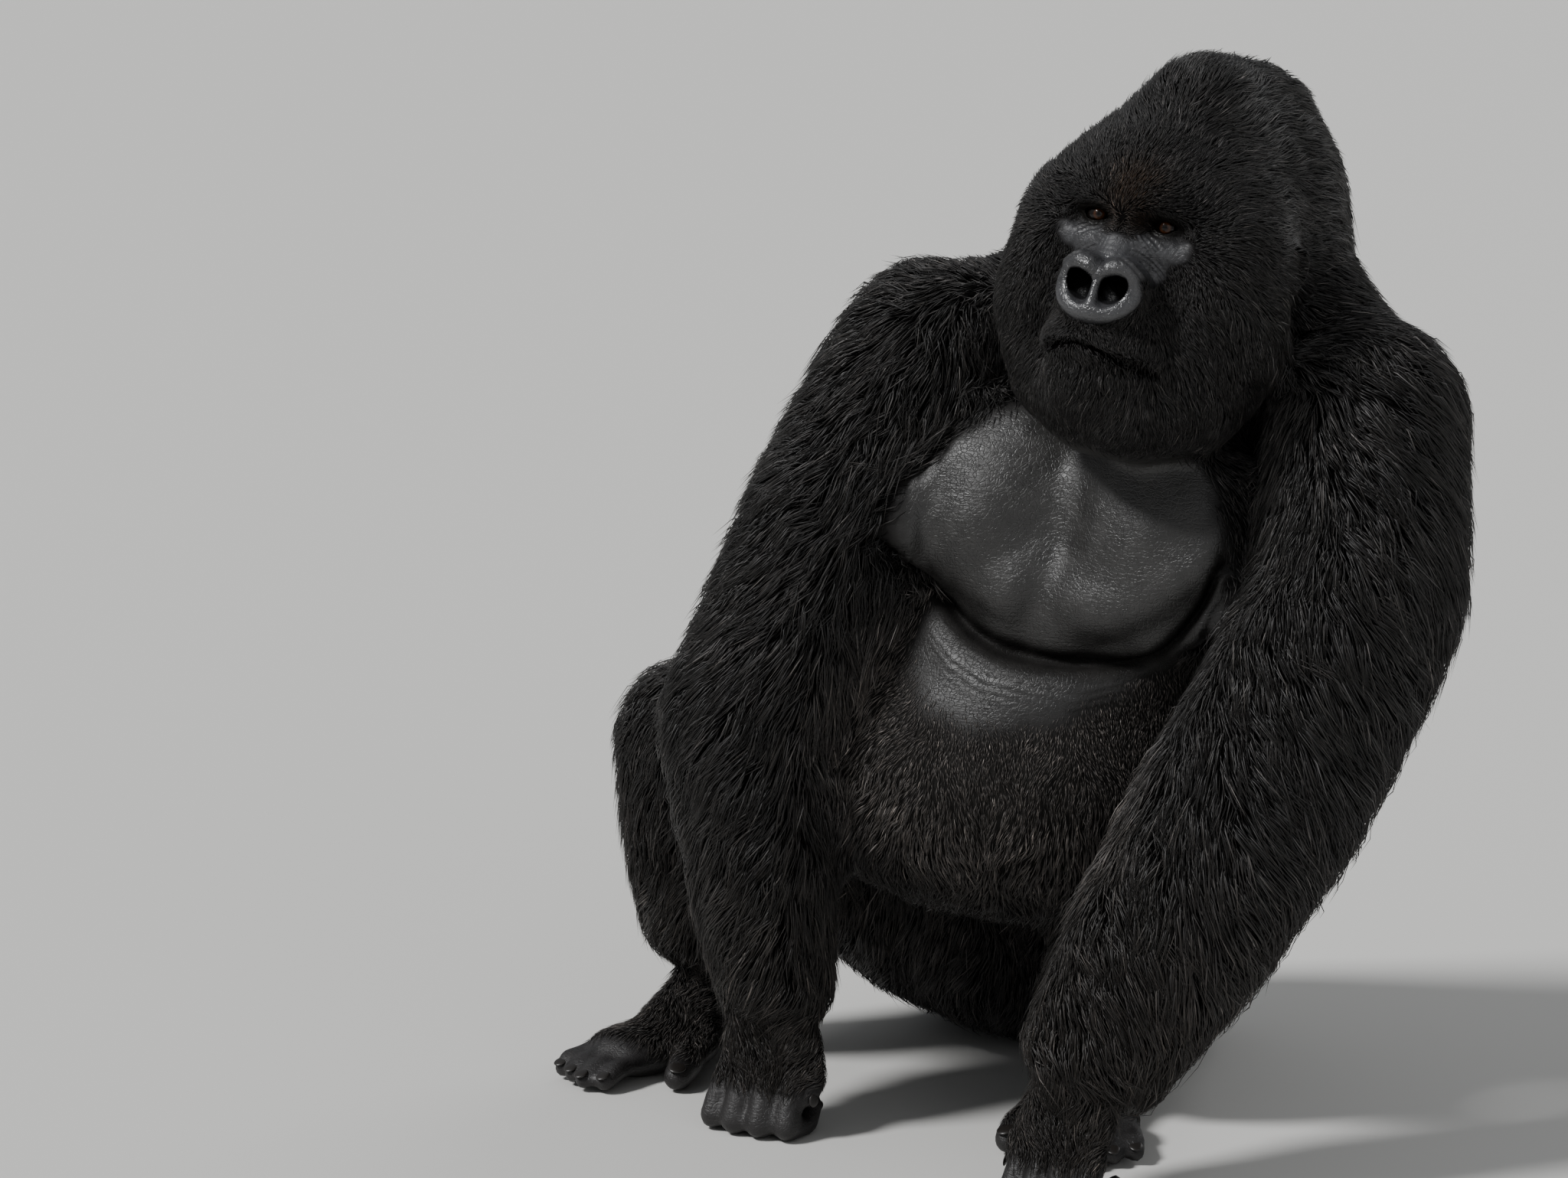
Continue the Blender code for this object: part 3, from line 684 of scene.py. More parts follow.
def outline_far(points):
    """How far outside the nose a place lies, seen from the front."""
    return egg(points * FLAT, *NOSE_OUTLINE)


def face_lines(points):
    """Fine folds: round the nose, fanning out under the eyes, and over the bridge."""
    z, q = points[:, 2], mirrored(points)
    out = q[:, 0]
    drift = ripple(points, 0.030, 3)
    patchy = np.clip(0.75 + 0.5 * ripple(points, 0.020, 4), 0.1, 1.3)
    far = outline_far(points)
    beside = step(0.0005, 0.003, far) * step(0.0175, 0.010, far)
    beside *= step(-0.106, -0.088, z) * step(0.012, 0.026, out)
    rings = beside * waves(far, 0.0043, 0.7 * drift)
    turn = np.arctan2(z + 0.002, out - 0.008)
    reach = np.hypot(out - 0.008, z + 0.002)
    under = step(0.014, 0.022, reach) * step(0.086, 0.062, reach) * step(-0.001, 0.004, far)
    under *= step(-1.75, -1.35, turn) * step(-0.16, -0.36, turn)
    fan = under * patchy * np.cos(turn * 34 + 1.6 * np.sin(120 * reach) + 1.5 * drift)
    cross = under * waves(reach, 0.0055, 2.5 * drift)
    bridge = near(points, (0, -0.020, -0.026), (0.020, 0.04, 0.017)) * patchy
    folds = bridge * waves(z, 0.0046, 2.2 * drift + 40 * out)
    lids = near(q, (EYE_IN_HEAD.x, -0.004, 0.0065), (0.022, 0.03, 0.0060))
    creases = lids * waves(z + 9 * (out - EYE_IN_HEAD.x) ** 2, 0.0032, 0.6 * drift)
    lines = 0.0010 * rings + 0.00045 * fan + 0.00012 * cross + 0.00020 * folds + 0.00034 * creases
    return lines + mouth_lines(points)


def mouth_far(points):
    """How far from the parting of the lips a place lies, seen from the front."""
    far = tube(points * FLAT, curved(MOUTH, 3) * FLAT, 0.0)
    return far + 0.1 * np.maximum(points[:, 1] - 0.01, 0)


def mouth_lines(points):
    """The parting of the lips, the edge of each lip and the overhang of the upper one."""
    path = curved(MOUTH, 3)
    far = mouth_far(points)
    side = np.tanh((points[:, 2] - np.interp(points[:, 0], path[:, 0], path[:, 2])) / 0.0015)
    ends = step(0.070, 0.050, np.abs(points[:, 0]))
    parting = -0.0050 * hill(far, 0, 0.0021)
    edges = (0.0016 + 0.0004 * side) * hill(far, 0.0055, 0.0035)
    return ends * (parting + edges + 0.0012 * side * hill(far, 0, 0.009))


def in_face(points):
    """1 inside the sculpted mask of the face, 0 well outside it."""
    local = in_frame(points, HEAD) - np.array((0, -0.020, -0.072))
    return step(1.15, 0.80, ((local / np.array((0.098, 0.100, 0.106))) ** 2).sum(axis=1))


def in_features(points):
    """True round the eyes, the nose and the mouth."""
    local = in_frame(points, HEAD)
    q = mirrored(local)
    eyes = egg(q, (0.038, -0.004, -0.010), (0.030, 0.040, 0.022)) < 0
    nose = egg(q, (0, -0.050, -0.073), (0.058, 0.045, 0.044)) < 0
    return eyes | nose | (mouth_far(local) < 0.0055)


def in_holes(points):
    """True over the nostrils and their edges."""
    q = mirrored(in_frame(points, HEAD))
    return (egg(q * FLAT, *NOSTRIL_FRONT) < 0) & (q[:, 1] < -0.02)


def refine(skin, wanted, least=0.0):
    """Splits the edges of the skin longer than this where wanted(points) says so."""
    bm = bmesh.new()
    bm.from_mesh(skin.data)
    chosen = wanted(points_of(skin.data))
    inside = (e for e in bm.edges if chosen[e.verts[0].index] and chosen[e.verts[1].index])
    edges = [e for e in inside if e.calc_length() > least]
    bmesh.ops.subdivide_edges(bm, edges=edges, cuts=1, use_grid_fill=True)
    bmesh.ops.triangulate(bm, faces=[f for f in bm.faces if len(f.verts) > 3])
    bm.to_mesh(skin.data)
    bm.free()


def onto(form, places, share, reach=0.0003):
    """The move from a form's surface to these places, along its slope."""
    far = form(places)
    moves = reach * np.eye(3)
    slope = np.stack([(form(places + move) - far) / reach for move in moves], axis=1)
    size = np.maximum((slope**2).sum(axis=1), 0.25)
    return np.clip(far / size, -0.004, 0.004)[:, None] * slope * share


def press(skin, weight, form, rounds, evening):
    """Moves the weighted part of the skin onto form(places, turn), evening it out between."""
    points = points_of(skin.data)
    chosen = np.nonzero(weight > 0)[0]
    share = weight[chosen][:, None]
    number = np.full(len(points), -1)
    number[chosen] = np.arange(len(chosen))
    links = number[ends_of(skin.data)]
    links = links[(links >= 0).all(axis=1)]
    start = in_frame(points, HEAD)[chosen]
    local = start.copy()
    for turn in range(rounds):
        if turn < rounds - 2:
            local = local + share * (spread(local, links, 2) - local) * evening
        local = local - onto(lambda p: form(p, turn), local, share)
    local = start + share * (local - start)
    head = np.array(HEAD)
    points[chosen] = local @ head[:3, :3].T + head[:3, 3]
    put_points(skin.data, points)


def sculpt_face(skin):
    """Presses the face's forms into the skin and lays the fine folds over them."""
    refine(skin, lambda p: in_face(p) > 0)
    refine(skin, in_features)
    weight = in_face(points_of(skin.data))
    press(skin, weight, lambda p, turn: face_mass(mirrored(p)), 9, 1.2)
    press(skin, weight, lambda p, turn: face_form(p, min(1.0, 0.3 + 0.1 * turn)), 10, 0.6)
    for _ in range(4):
        refine(skin, in_holes, 0.0022)
    points = points_of(skin.data)
    press(skin, in_holes(points) * 1.0, lambda p, turn: face_form(p), 8, 0.5)
    points = points_of(skin.data)
    lines = in_face(points) * face_lines(in_frame(points, HEAD))
    put_points(skin.data, points + normals_of(skin.data) * lines[:, None])


# Chest -------------------------------------------------------------------------------------------

# In the working layout: the fold under the chest as (x, z), and the cleft above it as (z, x).
FOLD = ((-0.236, 0.600), (-0.210, 0.572), (-0.167, 0.535), (-0.105, 0.508), (-0.030, 0.499),
        (0.046, 0.508), (0.093, 0.553), (0.125, 0.610))
CLEFT = ((0.500, -0.094), (0.540, -0.084), (0.600, -0.066), (0.680, -0.050))

# Swellings of the chest muscles: height, then middle and reach in x and in z.
SWELLS = (
    (0.013, -0.142, 0.052, 0.612, 0.060),
    (0.005, -0.035, 0.045, 0.535, 0.034),
    (0.005, 0.055, 0.060, 0.600, 0.070),
)


def over_fold(points):
    """How high over the fold under the chest a place lies, and 1 where that fold runs."""
    x, y, z = in_layout(points)
    fold = curved(FOLD, 5)
    front = step(-0.10, -0.17, y) * step(-0.25, -0.215, x) * step(0.155, 0.115, x)
    return z - np.interp(x, fold[:, 0], fold[:, 1]), front


def chest_relief(points):
    """Out and down moves that shape the chest muscles over their fold, with the cleft between."""
    x, _, z = in_layout(points)
    over, front = over_fold(points)
    cleft = np.array(CLEFT)
    beside = x - np.interp(z, cleft[:, 0], cleft[:, 1])
    out = 0.007 * hill(over, 0.035, 0.040) + 0.004 * hill(over, -0.030, 0.022)
    for high, middle_x, reach_x, middle_z, reach_z in SWELLS:
        out += high * hill(x, middle_x, reach_x) * hill(z, middle_z, reach_z)
    out -= 0.0110 * hill(over, 0, 0.0085)
    out -= 0.0045 * step(0.495, 0.515, z) * step(0.62, 0.54, z) * hill(beside, 0, 0.018)
    ripples = waves(over, 0.0085, 1.3 * ripple(points - np.array(MOVED), 0.05, 21))
    ripples *= hill(over, -0.032, 0.017) * step(-0.21, -0.16, x) * step(0.06, 0.0, x)
    out += 0.0005 * ripples
    return front * out, front * 0.0050 * hill(over, 0.010, 0.012)


def sculpt_chest(skin):
    points = points_of(skin.data)
    out, down = chest_relief(points)
    points += normals_of(skin.data) * out[:, None]
    points[:, 2] -= down
    put_points(skin.data, points)


# The coat's fields -------------------------------------------------------------------------------

# For each sub-part: depth of the coat, length of a tuft, and share of full density.
COAT = {
    "trunk": (0.016, 0.040, 0.60),
    "neck": (0.018, 0.045, 0.95),
    "head": (0.010, 0.022, 2.05),
    "ear": (0.001, 0.010, 1.2),
    "upper_arm": (0.020, 0.056, 0.86),
    "forearm": (0.024, 0.074, 1.28),
    "hand": (0.004, 0.020, 1.3),
    "thigh": (0.020, 0.052, 0.72),
    "shin": (0.018, 0.048, 0.72),
    "foot": (0.004, 0.020, 1.2),
}

# How hair lies on a limb: its ends, the share along it, and the share outwards, back and up.
LIMB_LIE = {
    "upper_arm": (SHOULDER, ELBOW, 0.8, (0.45, 0.55, 0)),
    "forearm": (ELBOW, WRIST, 0.75, (0.55, 0.75, -0.1)),
    "thigh": (HIP, KNEE, 1, (0.1, 0.1, -0.6)),
    "shin": (KNEE, ANKLE, 1, (0.15, 0.25, 0)),
}
TRUNK_MIDDLE = at(-0.06, 0, 0).x


def kind_of(node):
    return node.rsplit("_", 1)[0] if node[-2:] in ("_l", "_r") else node


class Labels:
    """Tells which sub-part of the frame a point belongs to."""

    def __init__(self):
        corners, faces, self.names, self.owner = [], [], flesh_solids(), []
        for index, name in enumerate(self.names):
            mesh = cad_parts[name].data
            start = len(corners)
            corners.extend(v.co.copy() for v in mesh.vertices)
            faces.extend([start + i for i in p.vertices] for p in mesh.polygons)
            self.owner.extend([index] * len(mesh.polygons))
        self.tree = BVHTree.FromPolygons(corners, faces)

    def of(self, points):
        return np.array([self.owner[self.tree.find_nearest(Vector(p))[2]] for p in points])

    def are(self, kinds, *names):
        """True where the sub-part has one of these names."""
        return np.isin(kinds, [self.names.index(name) for name in names])


def lie_of(points, kinds, labels):
    """Which way the hair lies, before it is laid on the surface."""
    lie = np.zeros_like(points)
    for index, name in enumerate(labels.names):
        chosen = kinds == index
        kind, side = kind_of(name), name[-1]
        sign = SIDES.get(side, 0) if kind != name else 0
        here = points[chosen]
        if kind in LIMB_LIE:
            start, end, along, (out, back, up) = LIMB_LIE[kind]
            down = unit(np.array(end[side] - start[side]))
            lie[chosen] = along * down + np.array((out * sign, back, up))
        elif kind in ("hand", "foot"):
            lie[chosen] = (0, -1, -0.5)
        elif kind == "head":
            lie[chosen] = head_lie(in_frame(here, HEAD)) @ np.array(HEAD.to_3x3()).T
        elif kind == "ear":
            lie[chosen] = (0.3 * sign, 1, 0)
        elif kind == "neck":
            lie[chosen] = np.array((0, 0.35, -1)) + np.sign(here[:, :1]) * np.array((0.25, 0, 0))
        else:
            out = np.clip((here[:, :1] - TRUNK_MIDDLE) / 0.2, -1, 1)
            lie[chosen] = np.array((0, 0, -1)) + out * np.array((0.18, 0, 0))
    return lie


def head_lie(local):
    """In the head's frame: up from the bridge of the nose, back at the temples, down the cheeks."""
    x, y, z = local.T
    one = np.ones_like(x)
    fan = unit((local - np.array((0, -0.012, -0.020))) * np.array((1.0, 0.5, 1.0)))
    back = unit(np.stack((0.25 * np.sign(x), one, 0.10 * one), axis=1))
    cheek = unit(np.stack((0.30 * np.sign(x), 0.40 * one, -one), axis=1))
    chin = unit(np.stack((x * 6, -0.05 * one, -one), axis=1))
    front = step(0.19, -0.01, y) * step(-0.01, 0.03, z)
    low = step(0.02, -0.07, z)
    muzzle = step(-0.085, -0.115, z) * step(0.10, 0.06, np.abs(x)) * step(0.06, 0.02, y)
    lie = back
    for share, way in ((low, cheek), (front, fan), (muzzle, chin)):
        lie = lie * (1 - share)[:, None] + way * share[:, None]
    return lie


def bare_face(local):
    """1 on the naked skin round the eyes, nose and cheeks beside it, in the head's frame."""
    x, y, z = local.T
    out = np.abs(x)
    far = np.minimum.reduce((
        ((out - 0.036) / 0.021) ** 2 + ((z + 0.0015) / 0.0090) ** 2,
        ((out - 0.043) / 0.029) ** 2 + ((z + 0.0235) / 0.0155) ** 2,
        (out / 0.050) ** 2 + ((z + 0.046) / 0.026) ** 2,
        1.05 + outline_far(local) / 0.010,
    ))
    return step(1.25, 0.80, far) * step(0.030, 0.015, y)


def bare_front(points):
    """1 on the naked skin of the face and the chest."""
    x, y, z = in_layout(points)
    wavy = 0.05 * ripple(points, 0.06, 31)
    over = ((x + 0.040) / 0.175) ** 2 + ((z - 0.620) / 0.150) ** 2
    under = ((x + 0.090) / 0.145) ** 2 + ((z - 0.510) / 0.090) ** 2
    chest = np.maximum(step(1.12, 0.84, over + wavy), step(1.20, 0.25, under + wavy))
    return np.maximum(bare_face(in_frame(points, HEAD)), chest * step(-0.02, -0.10, y))


def bare_limbs(points, kinds, labels):
    """1 on palms, soles, fingers and toes, 0 on the haired backs of hands and feet."""
    bare = np.zeros(len(points))
    for side in SIDES:
        _, y, z = in_frame(points, hand_frame(side)).T
        back = step(-0.078, -0.050, z) * step(0.034, 0.012, y)
        bare = np.where(labels.are(kinds, f"hand_{side}"), 1 - back, bare)
        _, y, z = in_frame(points, foot_frame(side)).T
        top = step(0.020, 0.040, z) * step(-0.160, -0.115, y)
        bare = np.where(labels.are(kinds, f"foot_{side}"), 1 - top, bare)
    return bare


class Fields:
    """What the coat does at each vertex of the skin."""

    def __init__(self, mesh, labels):
        points, ends = points_of(mesh), ends_of(mesh)
        self.kinds = kinds = labels.of(points)
        head, body = labels.are(kinds, "head"), labels.are(kinds, "trunk", "neck")
        table = np.array([COAT[kind_of(name)] for name in labels.names])
        rows = np.column_stack((table[kinds], unit(lie_of(points, kinds, labels))))
        rows = spread(rows, ends, 24)
        bare = bare_front(points)
        near_bare = np.clip(2.2 * spread(bare * body, ends, 60) * body, 0, 1)
        near_face = np.clip(2.5 * spread(bare * ~body, ends, 50) * head, 0, 1)
        soft = np.where(head, spread(bare, ends, 14), spread(bare, ends, 2))
        self.bare = np.maximum(soft, spread(bare_limbs(points, kinds, labels), ends, 8))
        self.depth = rows[:, 0] * (1 - self.bare)
        self.length = rows[:, 1]
        gap = 1 - hill(mouth_far(in_frame(points, HEAD)), 0, 0.0024)
        self.density = rows[:, 2] * step(0.85, 0.15, self.bare) * gap
        self.lie = unit(rows[:, 3:6])
        x, y, z = in_layout(points)
        belly = step(1.6, 0.7, ((x + 0.09) / 0.19) ** 2 + ((z - 0.40) / 0.19) ** 2)
        belly = belly * step(-0.05, -0.16, y) * labels.are(kinds, "trunk")
        self.belly = spread(belly, ends, 12)
        high, near_bare = step(0.25, 0.46, z), near_bare * (1 - self.belly)
        self.length *= (1 - (0.60 + 0.20 * high) * self.belly) * (1 - 0.55 * near_bare)
        self.depth *= (1 - (0.60 + 0.25 * high) * self.belly) * (1 - 0.60 * near_bare)
        self.length *= 1 - 0.30 * near_face
        self.depth *= 1 - 0.80 * near_face
        for side in SIDES:
            elbow = ELBOW[side] * 0.55 + WRIST[side] * 0.45 + Vector((0, 0.05, 0))
            self.length *= 1 + 0.30 * near(points, elbow, (0.12, 0.13, 0.17))
        self.clump = step(0.012, 0.060, self.length) * 0.55 + 0.05
        self.thin_face(in_frame(points, HEAD))

    def thin_face(self, local):
        """Shorter, closer hair towards the face, longer at the crest and the beard."""
        face = near(local, (0, -0.02, -0.05), (0.12, 0.11, 0.14))
        crest = near(local, (0.01, 0.21, 0.13), (0.14, 0.14, 0.10))
        beard = near(local, (0, 0.03, -0.205), (0.10, 0.10, 0.050))
        stubble = near(local, (0, -0.055, -0.128), (0.060, 0.060, 0.022))
        rims = near(mirrored(local), (0.042, -0.004, 0.014), (0.035, 0.04, 0.012))
        self.length *= (1 - 0.55 * face) * (1 + 0.30 * crest + 0.75 * beard)
        self.length *= 1 - 0.55 * np.maximum(stubble, 0.6 * rims)
        self.length = np.maximum(self.length, 0.0045)
        self.depth *= (1 - 0.65 * face) * (1 - 0.7 * np.maximum(stubble, rims))


def painted(count, ground, layers):
    """Linear colours: a ground under layers of (share at each place, colour)."""
    colour = np.repeat(shade(ground)[None], count, axis=0)
    for share, over in layers:
        colour += share[:, None] * (shade(over) - colour)
    return colour


def markings(points):
    """Colour of the hair at a place."""
    tints = bpy.context.scene.gorilla_colours
    local = in_frame(points, HEAD)
    x, y, z = in_layout(points)
    lower = step(0.45, 0.15, z) * step(0.05, -0.15, y)
    belly = step(1.4, 0.4, ((x + 0.09) / 0.19) ** 2 + ((z - 0.43) / 0.17) ** 2)
    saddle = near(points, SADDLE, (0.26, 0.15, 0.24)) + 0.05 * ripple(points, 0.05, 41)
    brow = near(local, (0.002, -0.010, 0.018), (0.024, 0.040, 0.026))
    # Painted shade: the hair round the eyes, under the brow ridge, is painted near black.
    lids = near(mirrored(local), (0.040, -0.010, 0.014), (0.040, 0.04, 0.016))
    behind_cheek = near(local, (0.125, 0.075, -0.060), (0.022, 0.035, 0.030))
    return painted(len(points), tints.hair, (
        (0.5 * lower, "#2e2a27"),
        (0.8 * belly * step(-0.08, -0.17, y), tints.belly),
        (step(0.25, 0.80, saddle), tints.saddle),
        (0.9 * brow, "#3a2a1c"),
        # Painted shade under the brow.
        (0.7 * lids, "#0b0908"),
        (0.6 * behind_cheek, "#484846"),
    ))


# Tufts -------------------------------------------------------------------------------------------

# Share of its length, of its full height and of its width at each station of a tuft.
SHORT_TUFT = ((0.0, -0.08, 0.0), (0.36, 0.62, 1.0), (1.0, 1.0, 0.0))
LONG_TUFT = ((0.0, -0.08, 0.0), (0.24, 0.55, 1.0), (0.62, 0.90, 0.82), (1.0, 1.0, 0.0))
LONG_HAIR = 0.060
FULL_WIDTH_LENGTH = 0.030
STRAY_SHARE, STRAY_REACH = 0.07, 1.35
TUFTS_IN_LOCK = 14
# Share of tufts with much paler tips: partly grey tips, partly painted sheen.
PALE_AND_SHEEN_TIPS = 0.14
PATCH_RADIUS = 0.0014


def scattered(weights, count, rng):
    """Triangle numbers, spread evenly along the running total of their weights."""
    total = np.cumsum(weights)
    marks = (np.arange(count) + rng.random(count)) / count * total[-1]
    return np.minimum(np.searchsorted(total, marks), len(weights) - 1)


class Roots:
    """Where tufts stand: places, normals and field values on the skin."""

    def __init__(self, skin, fields, count, rng):
        mesh = skin.data
        points, corners = points_of(mesh), triangles_of(mesh)
        a, b, c = (points[corners[:, i]] for i in range(3))
        area = np.linalg.norm(np.cross(b - a, c - a), axis=1) / 2
        fineness = 1 / np.maximum(fields.length, 0.008)
        weights = area * (fields.density * fineness**0.75)[corners].mean(axis=1)
        self.triangle = scattered(weights, count, rng)
        u, v = rng.random(count), rng.random(count)
        over = u + v > 1
        u[over], v[over] = 1 - u[over], 1 - v[over]
        self.share = np.stack((1 - u - v, u, v), axis=1)
        corner = corners[self.triangle]

        def blend(values):
            rows = values.reshape(len(points), -1)[corner]
            return (rows * self.share[:, :, None]).sum(axis=1).squeeze()

        self.place, self.normal = blend(points), unit(blend(normals_of(mesh)))
        self.kind = fields.kinds[corner[:, 0]]
        for name in ("lie", "length", "depth", "clump"):
            setattr(self, name, blend(getattr(fields, name)))

    def pick(self, chosen):
        picked = object.__new__(Roots)
        for name, values in vars(self).items():
            setattr(picked, name, values[chosen])
        return picked


def on_surface(vectors, normals):
    return unit(vectors - (vectors * normals).sum(axis=1, keepdims=True) * normals)


def nearest(tree, points):
    found = [tree.find_nearest(Vector(p)) for p in points]
    return np.array([f[0] for f in found]), np.array([f[1] for f in found])


def grow(roots, stations, tree, rng):
    """The centre line of each tuft, laid over the skin, and the way up at each station."""
    count = len(roots.place)
    across = np.cross(roots.normal, roots.lie)
    swirl = 0.30 * ripple(roots.place, 0.075, 11) + 0.22 * ripple(roots.place, 0.028, 12)
    wander = rng.normal(0, 0.16, (count, 3)) + across * swirl[:, None]
    heading = on_surface(unit(roots.lie) + wander, roots.normal)
    reach = np.where(rng.random(count) < STRAY_SHARE, STRAY_REACH, 1)
    length = roots.length * rng.uniform(0.65, 1.15, count) * reach
    height = roots.depth * rng.uniform(0.30, 1.05, count) * reach + 0.0004
    line, ups = [], []
    place, normal, done = roots.place, roots.normal, 0.0
    for share, rise, _ in stations:
        if share > done:
            place, normal = nearest(tree, place + heading * ((share - done) * length)[:, None])
            heading = on_surface(heading, normal)
            done = share
        line.append(place + normal * (height * rise)[:, None])
        ups.append(normal)
    line = np.stack(line, axis=1)
    return gathered(roots, stations, line, rng), np.stack(ups, axis=1)


def gathered(roots, stations, line, rng):
    """Draws the tips of neighbouring tufts together into locks."""
    count = len(line)
    leaders = rng.choice(count, max(1, count // TUFTS_IN_LOCK), replace=False)
    finder = KDTree(len(leaders))
    for number, leader in enumerate(leaders):
        finder.insert(line[leader, 0], number)
    finder.balance()
    own = leaders[[finder.find(place)[1] for place in line[:, 0]]]
    pull = roots.clump * rng.uniform(0.5, 1.1, count)
    apart = line[:, 0] - line[own, 0]
    for index, (share, _, _) in enumerate(stations):
        if share:
            goal = line[own, index] + 0.2 * apart
            line[:, index] += (share**1.3 * pull)[:, None] * (goal - line[:, index])
    return line


def tuft_faces(rows):
    """Faces of one three-sided tuft that has this many stations."""
    tip = 3 * (rows - 2) + 1
    faces = [(0, 1 + (c + 1) % 3, 1 + c) for c in range(3)]
    for low in range(1, tip - 3, 3):
        high = low + 3
        faces += [(low + c, low + (c + 1) % 3, high + (c + 1) % 3, high + c) for c in range(3)]
    return faces + [(tip - 3 + c, tip - 3 + (c + 1) % 3, tip) for c in range(3)]


def tuft_points(stations, line, ups, width):
    """Corners of the tufts: the root, three round each middle station, and the tip."""
    forward = unit(np.gradient(line, axis=1))
    side = unit(np.cross(forward, ups))
    top = np.cross(side, forward)
    rings = [line[:, 0]]
    for index, station in enumerate(stations[1:-1], 1):
        half = (width * station[2] / 2)[:, None]
        for out, high in ((-1, -0.22), (1, -0.22), (0, 0.62)):
            corner = side[:, index] * half * out + top[:, index] * half * high
            rings.append(line[:, index] + corner)
    return np.stack([*rings, line[:, -1]], axis=1)


def tuft_object(name, points, rows, colours, uvs):
    """Closed tufts that taper to both ends, joined in one object."""
    count, per = points.shape[:2]
    faces = tuft_faces(rows)
    flat = np.concatenate([np.array(f) for f in faces])
    sizes = np.tile([len(f) for f in faces], count)
    mesh = bpy.data.meshes.new(name)
    mesh.vertices.add(count * per)
    write(mesh.vertices, "co", lifted(points.reshape(-1, 3), TUFT_LOWEST))
    mesh.loops.add(count * len(flat))
    write(mesh.loops, "vertex_index", flat[None] + per * np.arange(count)[:, None], np.int32)
    mesh.polygons.add(len(sizes))
    write(mesh.polygons, "loop_start", np.cumsum(sizes) - sizes, np.int32)
    smooth_faces(mesh)
    mesh.update(calc_edges=True)
    row_of = [0] + [1 + ring for ring in range(rows - 2) for _ in range(3)] + [rows - 1]
    give_colours(mesh, colours[:, row_of].reshape(-1, 3))
    patch = PATCH_RADIUS * np.stack((np.cos(flat * 2.1), np.sin(flat * 2.1)), axis=1)
    write(mesh.uv_layers.new(name="OFBake").data, "uv", uvs[:, None] + patch[None])
    return linked(mesh)


# Pieces ------------------------------------------------------------------------------------------

LIMBS = {
    "forearm": ("forearm", "hand"),
    "upper_arm": ("upper_arm",),
    "leg": ("thigh", "shin", "foot"),
}
MOST_TRIANGLES = 195000
FEWEST_TUFTS = 30

# What the skin's operator leaves for the coat's: the skin, its labels and its fields.
made = {}


def build_skin():
    """One skin over the whole body, drawn in by the depth of the coat where hair will stand."""
    skin = melted_skin()
    sculpt_chest(skin)
    sculpt_face(skin)
    labels = Labels()
    fields = Fields(skin.data, labels)
    points = points_of(skin.data)
    drawn_in = points - normals_of(skin.data) * fields.depth[:, None]
    put_points(skin.data, lifted(drawn_in, SKIN_LOWEST))
    made.update(skin=skin, labels=labels, fields=fields)
    paint_skin(skin.data, points, fields)
    unwrap(skin)
    smooth_faces(skin.data)
    skin.data.materials.append(skin_material())
    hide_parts(*flesh_solids())
    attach(skin, "root")


def paint_skin(mesh, points, fields):
    """Colour, gloss and dullness of the skin, held at its vertices."""
    local = in_frame(points, HEAD)
    q = mirrored(local)
    give_colours(mesh, skin_colours(points, local, fields))
    nose = step(0.004, -0.002, outline_far(local)) * step(-0.020, -0.032, local[:, 1])
    bags = near(q, (0.034, -0.004, -0.024), (0.022, 0.04, 0.018))
    chest = step(0.0, 0.3, near(points, CHEST, (0.22, 0.20, 0.20)))
    rims = near(q, EYE_IN_HEAD + Vector((0, -0.012, 0.002)), (0.030, 0.030, 0.0150))
    over, front = over_fold(points)
    lips = hill(mouth_far(local), 0, 0.003)
    glossy = np.maximum.reduce((nose, 0.5 * bags, 0.38 * chest))
    matt = np.maximum.reduce((
        in_nostril_shade(q), 0.9 * front * hill(over, -0.005, 0.014), 0.8 * rims, lips, 1 - fields.bare))
    for name, values in (("bare", fields.bare), ("glossy", glossy), ("matt", matt)):
        give_values(mesh, name, "FLOAT", np.clip(values, 0, 1))


